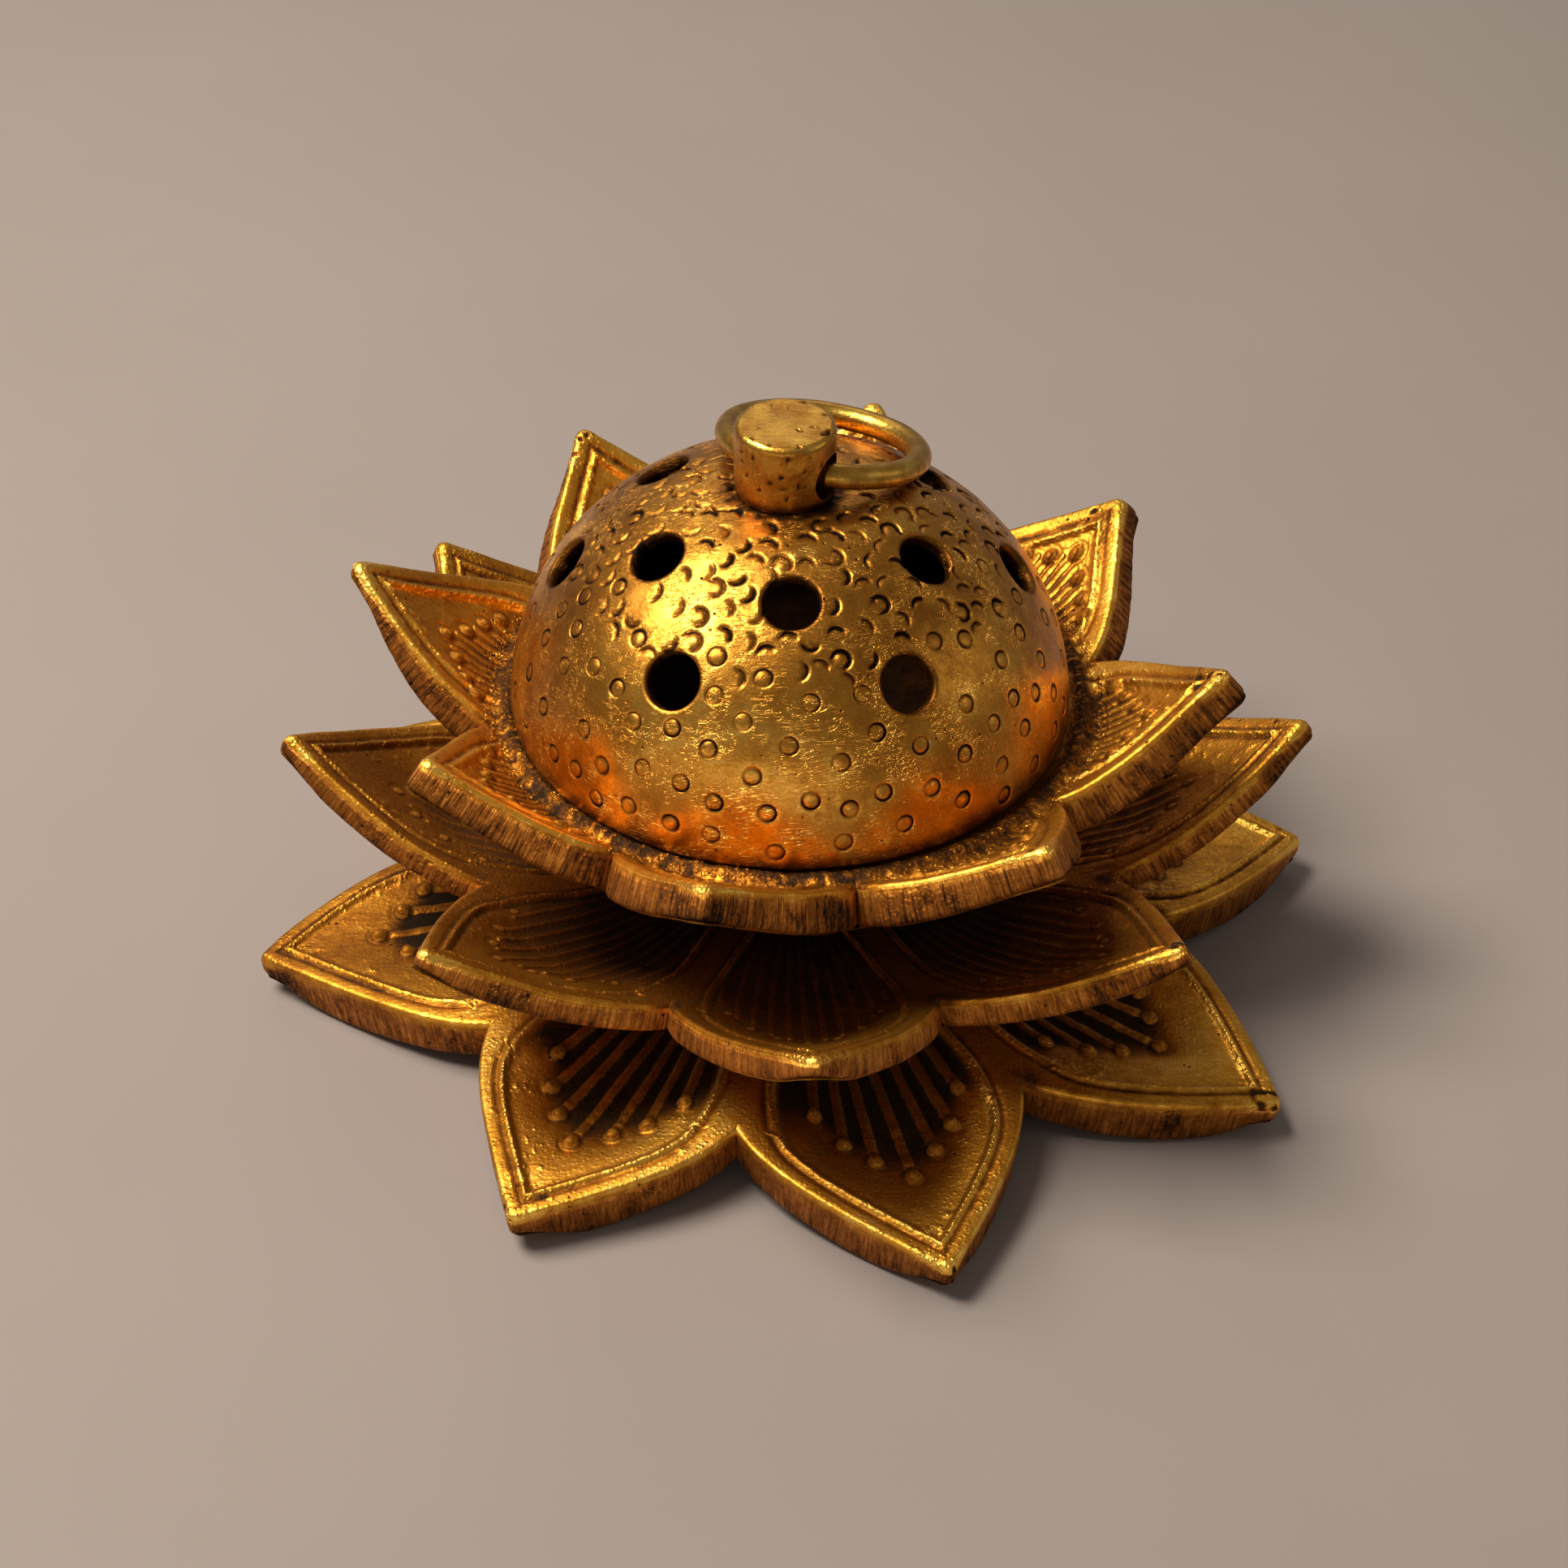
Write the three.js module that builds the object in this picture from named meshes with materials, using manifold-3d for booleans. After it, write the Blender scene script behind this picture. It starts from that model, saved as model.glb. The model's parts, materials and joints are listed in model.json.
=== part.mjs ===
// A cast brass incense burner: three turned-up lotus tiers on one screw, with a pierced dome lid.
// Millimetres, +Z up. The origin is on the screw's axis, at the height of the table.
import * as THREE from "three";
import { mergeVertices } from "three/addons/utils/BufferGeometryUtils.js";
import Module from "manifold-3d";

const wasm = await Module();
wasm.setup();

// ---- Driving dimensions ----

const PETALS = 8; // petals on each tier

// Radial section of a tier: its top face from the axis outwards, as [radius, height], and the
// thickness of the metal below it. Each tier is sawn out square to that face.
// firstPetal, reach and swing say where each hand-cut petal points, in degrees from -Y towards +X,
// and how far it reaches past tipRadius.
const LOWER = {
  tipRadius: 50,
  valleyRadius: 34.2,
  firstPetal: 14.6,
  reach: [0.3, 1.8, 1.12, 0.6, -0.29, -1, 0.82, -0.6],
  swing: [1.3, -1.2, -2.6, -1.2, -1.3, -0.7, -4.3, 1.2],
  section: [[0, 8.2], [11, 8.2], [22, 7.6], [34, 6.5], [44, 5.1], [54, 3.7]],
  thickness: 3.6,
  sawDepth: [-1, 10],
};
const MIDDLE = {
  tipRadius: 45.2,
  valleyRadius: 30.5,
  firstPetal: 2.3,
  reach: [0, 0, 1.5, 0, 0, 0, 1, -0.2],
  swing: [0, 0, -2.5, 0, 0, 3.4, 2.5, -1.5],
  section: [[0, 12.9], [11, 12.9], [21, 13.5], [31, 16.7], [38, 20.7], [45.2, 25.9], [50, 29.6]],
  thickness: 2.8,
  sawDepth: [8, 30],
};
const UPPER = {
  tipRadius: 38,
  valleyRadius: 27.4,
  firstPetal: -11.4,
  reach: [0, 0, 0.8, -0.5, 0, 0, 2.4, 0],
  swing: [0, 0, 0, 1, 0, 0, 4, 0],
  section: [[27, 28.6], [30, 30.6], [34, 33.9], [38, 37.5], [44, 43.1]],
  thickness: 4,
  sawDepth: [13, 41.5],
};

// The side of a petal is one cubic curve from its valley to its tip.
const VALLEY_LEAN = THREE.MathUtils.degToRad(-12); // from the petal's own direction, outwards
const VALLEY_PULL = 0.36; // share of the petal's length
const TIP_HALF_ANGLE = THREE.MathUtils.degToRad(42);
const TIP_PULL = 0.46; // share of the petal's length

const PAD_RADIUS = 43; // the lower tier rests on the flat petal ends outside this radius
const ARCH_HEIGHT = 4.6; // room for the nut under the middle of the lower tier
const ARCH = [[0, ARCH_HEIGHT], [15, ARCH_HEIGHT], [23, 3.9], [34, 2], [PAD_RADIUS, 0]];

// The bowl's inside and outside as [radius, height], from the middle outwards.
const BOWL = {
  floor: 17.6,
  inside: [[11.5, 17.6], [18, 19.8], [21.6, 23.6], [23.2, 28.6]],
  foot: 14.5,
  outside: [[10, 14.5], [15, 15.4], [21, 18], [26, 22.4]],
};
const SEAT = { height: 28.6, radius: 26.2, lip: 0.5 }; // the ledge that the lid stands on

const DOME = {
  offset: [-0.5, -0.4], // the loose lid stands a little off centre
  radius: 25.2,
  equator: 29.3,
  height: 22.8,
  crown: 51.2, // flat hammered for the knob
  baseRadius: 24.6,
  wall: 1.2,
  seatGap: 0.1,
};
const VENT_RADIUS = 2.4;
const VENT_DEPTH = 8; // of the drill, through the dome's wall
const VENT_RINGS = [
  { radius: 13.4, first: 0, count: 6 },
  { radius: 20, first: 30, count: 6 },
];

const KNOB = {
  offset: [-1.2, -0.4],
  radius: 4.5,
  top: 57.9,
  bevel: 0.35,
  tenonRadius: 2,
  rivetRadius: 3,
  rivetHeight: 1.1,
  rivetBevel: 0.75,
};
const EYE = { height: 53.7, radius: 2.05, turn: THREE.MathUtils.degToRad(-26.5) };
const RIVET_WASHER = { outer: 4.6, thickness: 1 };

const RING = {
  radius: 8.55,
  wire: 1.15,
  reach: 7.78, // centre of the ring from the axis of the eye
  droop: THREE.MathUtils.degToRad(16.2),
  cutAt: THREE.MathUtils.degToRad(25),
  cutWidth: THREE.MathUtils.degToRad(8),
};

const SCREW = {
  radius: 2.5,
  headRadius: 4.6,
  headHeight: 2.6,
  headCheek: 1.1, // straight side of the head
  slotWidth: 1.2,
  slotDepth: 1.1,
  end: 0.6,
  endBevel: 0.4,
};
const SCREW_WASHER = { outer: 6, thickness: 0.8 };
const NUT = { acrossFlats: 8, thickness: 2.5 };
const NUT_WASHER = { outer: 5.2, thickness: 1 };
const SPACER_RADIUS = 8;
const BORE_RADIUS = 2.6; // running fit on the screw
const TURNING_GAP = 0.05; // between faces that turn on each other
const RIVET_GAP = 0.1;
const OVERRUN = 1; // how far a cutter runs out of what it cuts

// Facets
const SIDE_STEPS = 7; // along one side of a petal
const TIER_FACETS = 48;
const DOME_FACETS = 48;
const SMALL_FACETS = 28;
const VENT_FACETS = 14;
const OUTER_DOME_STEPS = 9;
const INNER_DOME_STEPS = 6;
const RING_STEPS = 42;
const WIRE_STEPS = 5; // along half of the wire's round
const HEAD_STEPS = 3; // over the round of the screw's head
const SEARCH_STEPS = 24; // halvings to find a radius on a section

// ---- Materials ----

const brass = (color, roughness) => new THREE.MeshStandardMaterial({ color, roughness, metalness: 1 });
const castBrass = () => brass(0xa8752a, 0.42);
const spunBrass = () => brass(0xc1923c, 0.28);
const wireBrass = () => brass(0xb28a3a, 0.3);
const turnedBrass = () => brass(0xb08a48, 0.35);

// ---- Solids ----

// A closed geometry as a manifold-3d solid.
function solid(geometry) {
  const bare = geometry.clone();
  bare.deleteAttribute("normal");
  bare.deleteAttribute("uv");
  const merged = mergeVertices(bare, 1e-4);
  return new wasm.Manifold(
    new wasm.Mesh({
      numProp: 3,
      vertProperties: merged.attributes.position.array,
      triVerts: new Uint32Array(merged.index.array),
    }),
  );
}

function geometryOf(body) {
  const mesh = body.getMesh();
  const geometry = new THREE.BufferGeometry();
  geometry.setAttribute("position", new THREE.BufferAttribute(mesh.vertProperties, 3));
  geometry.setIndex(new THREE.BufferAttribute(mesh.triVerts, 1));
  const flat = geometry.toNonIndexed();
  flat.computeVertexNormals();
  return flat;
}

function named(name, geometry, material) {
  const mesh = new THREE.Mesh(geometry, material);
  mesh.name = name;
  return mesh;
}

// A profile of [radius, height] points turned round +Z.
function turned(profile, facets) {
  const points = profile.map(([r, z]) => new THREE.Vector2(r, z));
  return new THREE.LatheGeometry(points, facets).rotateX(Math.PI / 2);
}

// A cylinder along +Z from one height to another.
function rod(radius, from, to, facets = SMALL_FACETS) {
  return new THREE.CylinderGeometry(radius, radius, to - from, facets)
    .rotateX(Math.PI / 2)
    .translate(0, 0, (from + to) / 2);
}

// A flat ring between two radii, standing at height z.
function washer(inner, outer, z, thickness, facets = SMALL_FACETS) {
  const top = z + thickness;
  return turned([[inner, z], [outer, z], [outer, top], [inner, top], [inner, z]], facets);
}

// A body with a hole down its axis.
function bored(body, radius) {
  const { min, max } = body.boundingBox();
  return body.subtract(solid(rod(radius, min[2] - OVERRUN, max[2] + OVERRUN)));
}

// ---- Tiers ----

// The direction of a petal in degrees from -Y, as an angle from +X.
const bearing = (degrees) => THREE.MathUtils.degToRad(degrees - 90);

function polar(radius, angle) {
  return new THREE.Vector2(radius * Math.cos(angle), radius * Math.sin(angle));
}

// One side of a petal, from its valley to its tip.
function petalSide(tier, axis, valley, tip) {
  const length = tip.length() - tier.valleyRadius * Math.cos(Math.PI / PETALS);
  const side = Math.sign(valley.cross(tip)); // +1 on the clockwise side
  const leave = polar(VALLEY_PULL * length, axis - side * VALLEY_LEAN);
  const arrive = polar(TIP_PULL * length, axis + Math.PI + side * TIP_HALF_ANGLE);
  return new THREE.CubicBezierCurve(valley, valley.clone().add(leave), tip.clone().add(arrive), tip);
}

// The outline of a tier's petals, anticlockwise.
function petalOutline(tier) {
  const outline = [];
  const step = 360 / PETALS;
  for (let k = 0; k < PETALS; k++) {
    const middle = tier.firstPetal + step * k;
    const axis = bearing(middle + tier.swing[k]);
    const tip = polar(tier.tipRadius + tier.reach[k], axis);
    const before = polar(tier.valleyRadius, bearing(middle - step / 2));
    const after = polar(tier.valleyRadius, bearing(middle + step / 2));
    outline.push(...petalSide(tier, axis, before, tip).getPoints(SIDE_STEPS).slice(0, -1));
    outline.push(...petalSide(tier, axis, after, tip).getPoints(SIDE_STEPS).reverse().slice(0, -1));
  }
  return outline;
}

const sectionCurve = (points) => new THREE.SplineCurve(points.map(([r, z]) => new THREE.Vector2(r, z)));

// Height and slope of a section at a radius.
function sectionAt(curve, radius) {
  let low = 0;
  let high = 1;
  for (let i = 0; i < SEARCH_STEPS; i++) {
    const middle = (low + high) / 2;
    if (curve.getPoint(middle).x < radius) low = middle;
    else high = middle;
  }
  const tangent = curve.getTangent(low);
  return { height: curve.getPoint(low).y, slope: tangent.y / tangent.x };
}

// The block that a tier's petals are sawn from. Its walls stand square to the tier's top face.
function petalBlock(tier) {
  const outline = petalOutline(tier);
  const curve = sectionCurve(tier.section);
  const [low, high] = tier.sawDepth;
  const block = new THREE.CylinderGeometry(1, 1, high - low, outline.length)
    .rotateX(Math.PI / 2)
    .translate(0, 0, (low + high) / 2);
  const place = block.attributes.position;
  for (let i = 0; i < place.count; i++) {
    const across = Math.hypot(place.getX(i), place.getY(i));
    if (across < 0.5) continue; // the middle of a cap
    const turn = Math.atan2(place.getY(i), place.getX(i)) / (2 * Math.PI);
    const corner = outline[(Math.round(turn * outline.length) + outline.length) % outline.length];
    const { height, slope } = sectionAt(curve, corner.length());
    const scale = 1 - (slope * (place.getZ(i) - height)) / corner.length();
    place.setXY(i, corner.x * scale, corner.y * scale);
  }
  return solid(block);
}

// The top face of a section as points, and the face a thickness below it, both from the axis outwards.
function shellProfile(tier) {
  const curve = sectionCurve(tier.section);
  const steps = tier.section.length + 1;
  const top = curve.getPoints(steps);
  const below = top.map(({ x, y }, i) => {
    if (x === 0) return [0, y - tier.thickness]; // on the axis exactly
    const tangent = curve.getTangent(i / steps);
    return [x + tangent.y * tier.thickness, y - tangent.x * tier.thickness];
  });
  return { top: top.map(({ x, y }) => [x, y]), below };
}

function lowerPetals() {
  const { top } = shellProfile(LOWER);
  const edge = top.at(-1)[0];
  const shell = solid(turned([...ARCH, [edge, 0], ...top.reverse()], TIER_FACETS));
  return bored(shell.intersect(petalBlock(LOWER)), BORE_RADIUS);
}

function middlePetals() {
  const { top, below } = shellProfile(MIDDLE);
  const shell = solid(turned([...below, ...top.reverse()], TIER_FACETS));
  return bored(shell.intersect(petalBlock(MIDDLE)), BORE_RADIUS);
}

// The petals and the bowl that holds the incense are one casting.
function upperPetals() {
  const { top, below } = shellProfile(UPPER);
  const inside = [[0, BOWL.floor], ...BOWL.inside];
  const ledge = [[SEAT.radius - SEAT.lip, SEAT.height], [SEAT.radius, SEAT.height + SEAT.lip]];
  const outside = [[0, BOWL.foot], ...BOWL.outside];
  const profile = [...outside, ...below, ...top.reverse(), ...ledge.reverse(), ...inside.reverse()];
  const shell = turned(profile, TIER_FACETS);
  return bored(solid(shell).intersect(petalBlock(UPPER)), BORE_RADIUS);
}

// ---- Lid ----

// Height of the dome's outside over its own centre.
const domeHeight = (radius) => DOME.equator + DOME.height * Math.sqrt(1 - (radius / DOME.radius) ** 2);

// A quarter of an ellipse from its equator up to the height of the flat crown.
function domeArc(radius, height, crown, steps) {
  const last = Math.asin((crown - DOME.equator) / height);
  return Array.from({ length: steps + 1 }, (_, i) => {
    const angle = (last * i) / steps;
    return [radius * Math.cos(angle), DOME.equator + height * Math.sin(angle)];
  });
}

function domeLid() {
  const base = SEAT.height + DOME.seatGap;
  const bore = KNOB.tenonRadius + RIVET_GAP;
  const underCrown = DOME.crown - DOME.wall;
  const outside = domeArc(DOME.radius, DOME.height, DOME.crown, OUTER_DOME_STEPS);
  const inside = domeArc(DOME.radius - DOME.wall, DOME.height - DOME.wall, underCrown, INNER_DOME_STEPS);
  const shell = turned(
    [
      [DOME.baseRadius - DOME.wall, base],
      [DOME.baseRadius, base],
      ...outside,
      [0, DOME.crown],
      [0, underCrown],
      ...inside.reverse(),
      [DOME.baseRadius - DOME.wall, base],
    ],
    DOME_FACETS,
  );
  // The bore follows the knob, which stands off the dome's centre.
  const knobShift = [KNOB.offset[0] - DOME.offset[0], KNOB.offset[1] - DOME.offset[1]];
  const drill = rod(bore, underCrown - OVERRUN, DOME.crown + OVERRUN).translate(...knobShift, 0);
  let lid = solid(shell).subtract(solid(drill));
  for (const ring of VENT_RINGS)
    for (let i = 0; i < ring.count; i++)
      lid = lid.subtract(vent(ring.radius, bearing(ring.first + (360 / ring.count) * i)));
  return lid;
}

// A vent's drill, square to the dome where it goes in.
function vent(radius, angle) {
  const rise = Math.atan2((DOME.height / DOME.radius) * radius, Math.sqrt(DOME.radius ** 2 - radius ** 2));
  const drill = new THREE.CylinderGeometry(VENT_RADIUS, VENT_RADIUS, VENT_DEPTH, VENT_FACETS)
    .rotateX(Math.PI / 2)
    .rotateY(rise)
    .translate(radius, 0, domeHeight(radius))
    .rotateZ(angle);
  return solid(drill);
}

// The knob's tenon goes through the crown and is peened over a washer inside.
function lidKnob() {
  const { radius, top, bevel, tenonRadius, rivetRadius, rivetHeight, rivetBevel } = KNOB;
  const rivetTop = DOME.crown - DOME.wall - RIVET_WASHER.thickness - 2 * RIVET_GAP;
  const rivetFoot = rivetTop - rivetHeight;
  const profile = [
    [0, rivetFoot],
    [rivetRadius - rivetBevel, rivetFoot],
    [rivetRadius, rivetFoot + rivetBevel],
    [rivetRadius, rivetTop],
    [tenonRadius, rivetTop],
    [tenonRadius, DOME.crown + RIVET_GAP],
    [radius, DOME.crown + RIVET_GAP],
    [radius, top - bevel],
    [radius - bevel, top],
    [0, top],
  ];
  const eye = new THREE.CylinderGeometry(EYE.radius, EYE.radius, 3 * radius, SMALL_FACETS)
    .rotateZ(Math.PI / 2)
    .rotateZ(EYE.turn)
    .translate(0, 0, EYE.height);
  return solid(turned(profile, SMALL_FACETS)).subtract(solid(eye));
}

// An arc of wire in the XY plane. The eye's axis is the X axis, and the arc's cut is beside the eye.
class RingLine extends THREE.Curve {
  getPoint(t, target = new THREE.Vector3()) {
    const angle = RING.cutAt + RING.cutWidth + t * (2 * Math.PI - RING.cutWidth);
    return target.set(RING.radius * Math.sin(angle), RING.reach - RING.radius * Math.cos(angle), 0);
  }
}

function pullRing() {
  const wire = new THREE.Shape().absarc(0, 0, RING.wire, 0, 2 * Math.PI);
  return new THREE.ExtrudeGeometry(wire, {
    steps: RING_STEPS,
    curveSegments: WIRE_STEPS,
    extrudePath: new RingLine(),
  });
}

// ---- Screw stack ----

function centreScrew() {
  const seat = BOWL.floor + SCREW_WASHER.thickness;
  const { radius, headRadius, headHeight, headCheek, slotWidth, slotDepth, end, endBevel } = SCREW;
  const round = Array.from({ length: HEAD_STEPS + 1 }, (_, i) => {
    const angle = (i * Math.PI) / 2 / HEAD_STEPS;
    const rise = (headHeight - headCheek) * Math.sin(angle);
    return [headRadius * Math.cos(angle), seat + headCheek + rise];
  });
  round[HEAD_STEPS][0] = 0; // on the axis exactly
  const profile = [
    [0, end],
    [radius - endBevel, end],
    [radius, end + endBevel],
    [radius, seat],
    [headRadius, seat],
    ...round,
  ];
  const slot = new THREE.BoxGeometry(3 * headRadius, slotWidth, 2 * slotDepth);
  slot.translate(0, 0, seat + headHeight);
  return solid(turned(profile, SMALL_FACETS)).subtract(solid(slot));
}

function hexNut(top) {
  const corner = NUT.acrossFlats / 2 / Math.cos(Math.PI / 6);
  const hexagon = rod(corner, top - NUT.thickness, top, 6);
  return bored(solid(hexagon), BORE_RADIUS);
}

// ---- Assembly ----

const burner = new THREE.Group();
burner.name = "incense_burner";

const middleTop = MIDDLE.section[0][1];
const lowerTop = LOWER.section[0][1];
const middleFoot = middleTop - MIDDLE.thickness;
const nutTop = ARCH_HEIGHT - NUT_WASHER.thickness;

const spacerBetween = (from, to) =>
  washer(BORE_RADIUS, SPACER_RADIUS, from + TURNING_GAP, to - from - 2 * TURNING_GAP);

burner.add(
  named("lower_petals", geometryOf(lowerPetals()), castBrass()),
  named("middle_petals", geometryOf(middlePetals()), castBrass()),
  named("upper_petals", geometryOf(upperPetals()), castBrass()),
  named("lower_spacer", spacerBetween(lowerTop, middleFoot), turnedBrass()),
  named("upper_spacer", spacerBetween(middleTop, BOWL.foot), turnedBrass()),
  named("centre_screw", geometryOf(centreScrew()), turnedBrass()),
  named(
    "screw_washer",
    washer(BORE_RADIUS, SCREW_WASHER.outer, BOWL.floor + TURNING_GAP, SCREW_WASHER.thickness - TURNING_GAP),
    turnedBrass(),
  ),
  named("nut_washer", washer(BORE_RADIUS, NUT_WASHER.outer, nutTop, NUT_WASHER.thickness), turnedBrass()),
  named("hex_nut", geometryOf(hexNut(nutTop)), turnedBrass()),
);

const dome = named("dome_lid", geometryOf(domeLid()), spunBrass());
dome.position.set(...DOME.offset, 0);

const knob = new THREE.Group();
knob.position.set(...KNOB.offset, 0);
knob.add(named("lid_knob", geometryOf(lidKnob()), turnedBrass()));
const washerFoot = DOME.crown - DOME.wall - RIVET_WASHER.thickness - RIVET_GAP;
knob.add(
  named(
    "rivet_washer",
    washer(KNOB.tenonRadius + RIVET_GAP, RIVET_WASHER.outer, washerFoot, RIVET_WASHER.thickness),
    turnedBrass(),
  ),
);

// The ring hangs from the eye and leans on the back of the dome.
const eyeFrame = new THREE.Group();
eyeFrame.position.z = EYE.height;
eyeFrame.rotation.z = EYE.turn;
const ring = named("pull_ring", pullRing(), wireBrass());
ring.rotation.x = -RING.droop;
eyeFrame.add(ring);
knob.add(eyeFrame);
burner.add(dome, knob);

export default burner;
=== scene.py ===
"""A brass lotus incense burner: three petal tiers on one screw, and a pierced dome lid with a pull ring.

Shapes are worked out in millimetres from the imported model, and become metres when a mesh is made.
"""

import json
import math
import random
from itertools import product
from types import SimpleNamespace

import bmesh
import bpy
import numpy as np
from mathutils import Matrix, Vector
from mathutils.bvhtree import BVHTree
from mathutils.geometry import delaunay_2d_cdt
from mathutils.kdtree import KDTree


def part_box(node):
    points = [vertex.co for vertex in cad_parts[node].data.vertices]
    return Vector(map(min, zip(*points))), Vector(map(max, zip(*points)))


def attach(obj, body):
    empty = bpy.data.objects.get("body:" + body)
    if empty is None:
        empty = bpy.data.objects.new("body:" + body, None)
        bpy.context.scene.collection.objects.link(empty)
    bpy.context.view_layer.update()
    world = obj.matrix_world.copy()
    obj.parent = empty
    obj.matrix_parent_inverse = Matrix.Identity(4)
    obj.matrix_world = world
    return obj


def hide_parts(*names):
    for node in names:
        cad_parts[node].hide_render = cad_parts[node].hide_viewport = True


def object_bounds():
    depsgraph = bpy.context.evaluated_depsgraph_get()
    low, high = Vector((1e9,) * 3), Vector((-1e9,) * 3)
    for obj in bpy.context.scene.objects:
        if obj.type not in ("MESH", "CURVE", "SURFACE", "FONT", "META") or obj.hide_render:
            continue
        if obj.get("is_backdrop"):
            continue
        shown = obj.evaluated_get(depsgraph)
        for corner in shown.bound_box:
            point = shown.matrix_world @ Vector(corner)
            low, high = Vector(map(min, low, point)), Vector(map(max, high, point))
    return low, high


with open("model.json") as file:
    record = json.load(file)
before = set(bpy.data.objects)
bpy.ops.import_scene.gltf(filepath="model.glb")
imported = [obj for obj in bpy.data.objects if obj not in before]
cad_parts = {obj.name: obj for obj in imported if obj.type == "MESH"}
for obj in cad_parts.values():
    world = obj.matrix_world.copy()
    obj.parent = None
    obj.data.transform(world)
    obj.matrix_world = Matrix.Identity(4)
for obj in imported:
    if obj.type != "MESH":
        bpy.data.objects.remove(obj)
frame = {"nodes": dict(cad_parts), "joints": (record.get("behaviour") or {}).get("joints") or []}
cad_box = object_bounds()

MM = 0.001  # one millimetre in scene units
FULL = 2 * math.pi
PETALS = 8  # on each tier
SECTOR = FULL / PETALS

# ---- Arithmetic ----


def smoothstep(low, high, value):
    share = np.clip((value - low) / (high - low), 0, 1)
    return share * share * (3 - 2 * share)


def hump(distance, half_width):
    """1 at no distance, falling smoothly to 0 at half_width."""
    return np.cos(np.clip(np.abs(distance) / half_width, 0, 1) * math.pi / 2) ** 2


def noise(points, size, seed=0):
    """Smooth noise between -1 and 1 at some points. Its features are about size across."""
    cell = np.asarray(points, float) / size
    base = np.floor(cell).astype(np.int64)
    part = cell - base
    part = part * part * (3 - 2 * part)
    total = np.zeros(base.shape[:-1])
    for corner in product((0, 1), repeat=base.shape[-1]):
        spot = base + corner
        mixed = seed * 1013904223
        for axis, factor in zip(range(base.shape[-1]), (374761393, 668265263, 951274213)):
            mixed = mixed + spot[..., axis] * factor
        mixed = mixed & 0xFFFFFFFF
        mixed = ((mixed ^ (mixed >> 13)) * 1274126177) & 0xFFFFFFFF
        value = ((mixed ^ (mixed >> 16)) & 0xFFFF) / 32768 - 1
        total += np.prod(np.where(corner, part, 1 - part), axis=-1) * value
    return total


def on_circle(radius, angle):
    """Places on a circle. A place is a point seen from above, as a complex number."""
    return radius * np.exp(1j * np.asarray(angle))


def full_turn(steps):
    return FULL * np.arange(steps) / steps


def angle_of(place):
    return math.atan2(place.imag, place.real)


def turn_between(start, end):
    return (end - start + math.pi) % FULL - math.pi


def run_along(*coordinates):
    """The distance run at each point of a line."""
    steps = np.sqrt(sum(np.diff(c) ** 2 for c in coordinates))
    return np.concatenate([[0], np.cumsum(steps)])


def distance_to_line(places, line):
    best = np.full(places.shape, 1e9)
    for start, end in zip(line[:-1], line[1:]):
        along = end - start
        if abs(along) < 1e-9:
            continue
        share = np.clip(((places - start) * np.conj(along)).real / abs(along) ** 2, 0, 1)
        best = np.minimum(best, abs(places - start - share * along))
    return best


def lifted(places, heights):
    """Points over some places."""
    return np.stack([places.real, places.imag, np.broadcast_to(heights, places.shape)], -1)


# ---- Meshes ----

MERGE = 2e-4  # points closer than about this many millimetres become one


def box_mm(node):
    """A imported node's lowest and highest corners, and the middle of its box seen from above."""
    low, high = (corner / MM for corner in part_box(node))
    return low, high, ((low.x + high.x) / 2, (low.y + high.y) / 2)


def mesh_points(mesh):
    points = np.zeros(len(mesh.vertices) * 3)
    mesh.vertices.foreach_get("co", points)
    return points.reshape(-1, 3) / MM


def set_layer(mesh, name, values):
    attribute = mesh.attributes.get(name) or mesh.attributes.new(name, "FLOAT", "POINT")
    attribute.data.foreach_set("value", np.asarray(values, np.float32))


def mesh_of(name, points, faces):
    """A mesh with its faces outwards, and the number of the point that each of its vertices comes from."""
    points = np.asarray(points)
    keys = np.round(points / MERGE).astype(np.int64)
    _, first, index = np.unique(keys, axis=0, return_index=True, return_inverse=True)
    index = index.reshape(-1)
    kept = []
    for face in faces:
        corners = [int(c) for i, c in enumerate(index[list(face)]) if c != index[face[i - 1]]]
        if len(set(corners)) > 2:
            kept.append(corners)
    mesh = bpy.data.meshes.new(name)
    mesh.from_pydata((points[first] * MM).tolist(), [], kept)
    work = bmesh.new()
    work.from_mesh(mesh)
    bmesh.ops.recalc_face_normals(work, faces=work.faces)
    work.to_mesh(mesh)
    work.free()
    return mesh, first


def make_piece(name, node, body, look, points, faces, layers):
    """A smooth piece that stands for a CAD node. layers holds a value for each point under each name."""
    mesh, first = mesh_of(name, points, faces)
    for layer, values in layers.items():
        set_layer(mesh, layer, np.asarray(values)[first])
    mesh.materials.append(look)
    mesh.shade_smooth()
    piece = bpy.data.objects.new(name, mesh)
    bpy.context.scene.collection.objects.link(piece)
    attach(piece, body)
    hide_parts(node)
    return piece


def cut_away(piece, points, faces):
    """Cuts a closed shape out of a piece with an exact boolean."""
    cutter = bpy.data.objects.new("cutter", mesh_of("cutter", points, faces)[0])
    bpy.context.scene.collection.objects.link(cutter)
    cut = piece.modifiers.new("cut", "BOOLEAN")
    cut.operation = "DIFFERENCE"
    cut.solver = "EXACT"
    cut.object = cutter
    graph = bpy.context.evaluated_depsgraph_get()
    mesh = bpy.data.meshes.new_from_object(piece.evaluated_get(graph))
    piece.modifiers.clear()
    piece.data = mesh
    bpy.data.objects.remove(cutter)


def sharpen(piece, degrees):
    """Smooth shading that breaks at edges sharper than an angle."""
    piece.data.shade_smooth()
    piece.data.set_sharp_from_angle(angle=math.radians(degrees))


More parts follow.
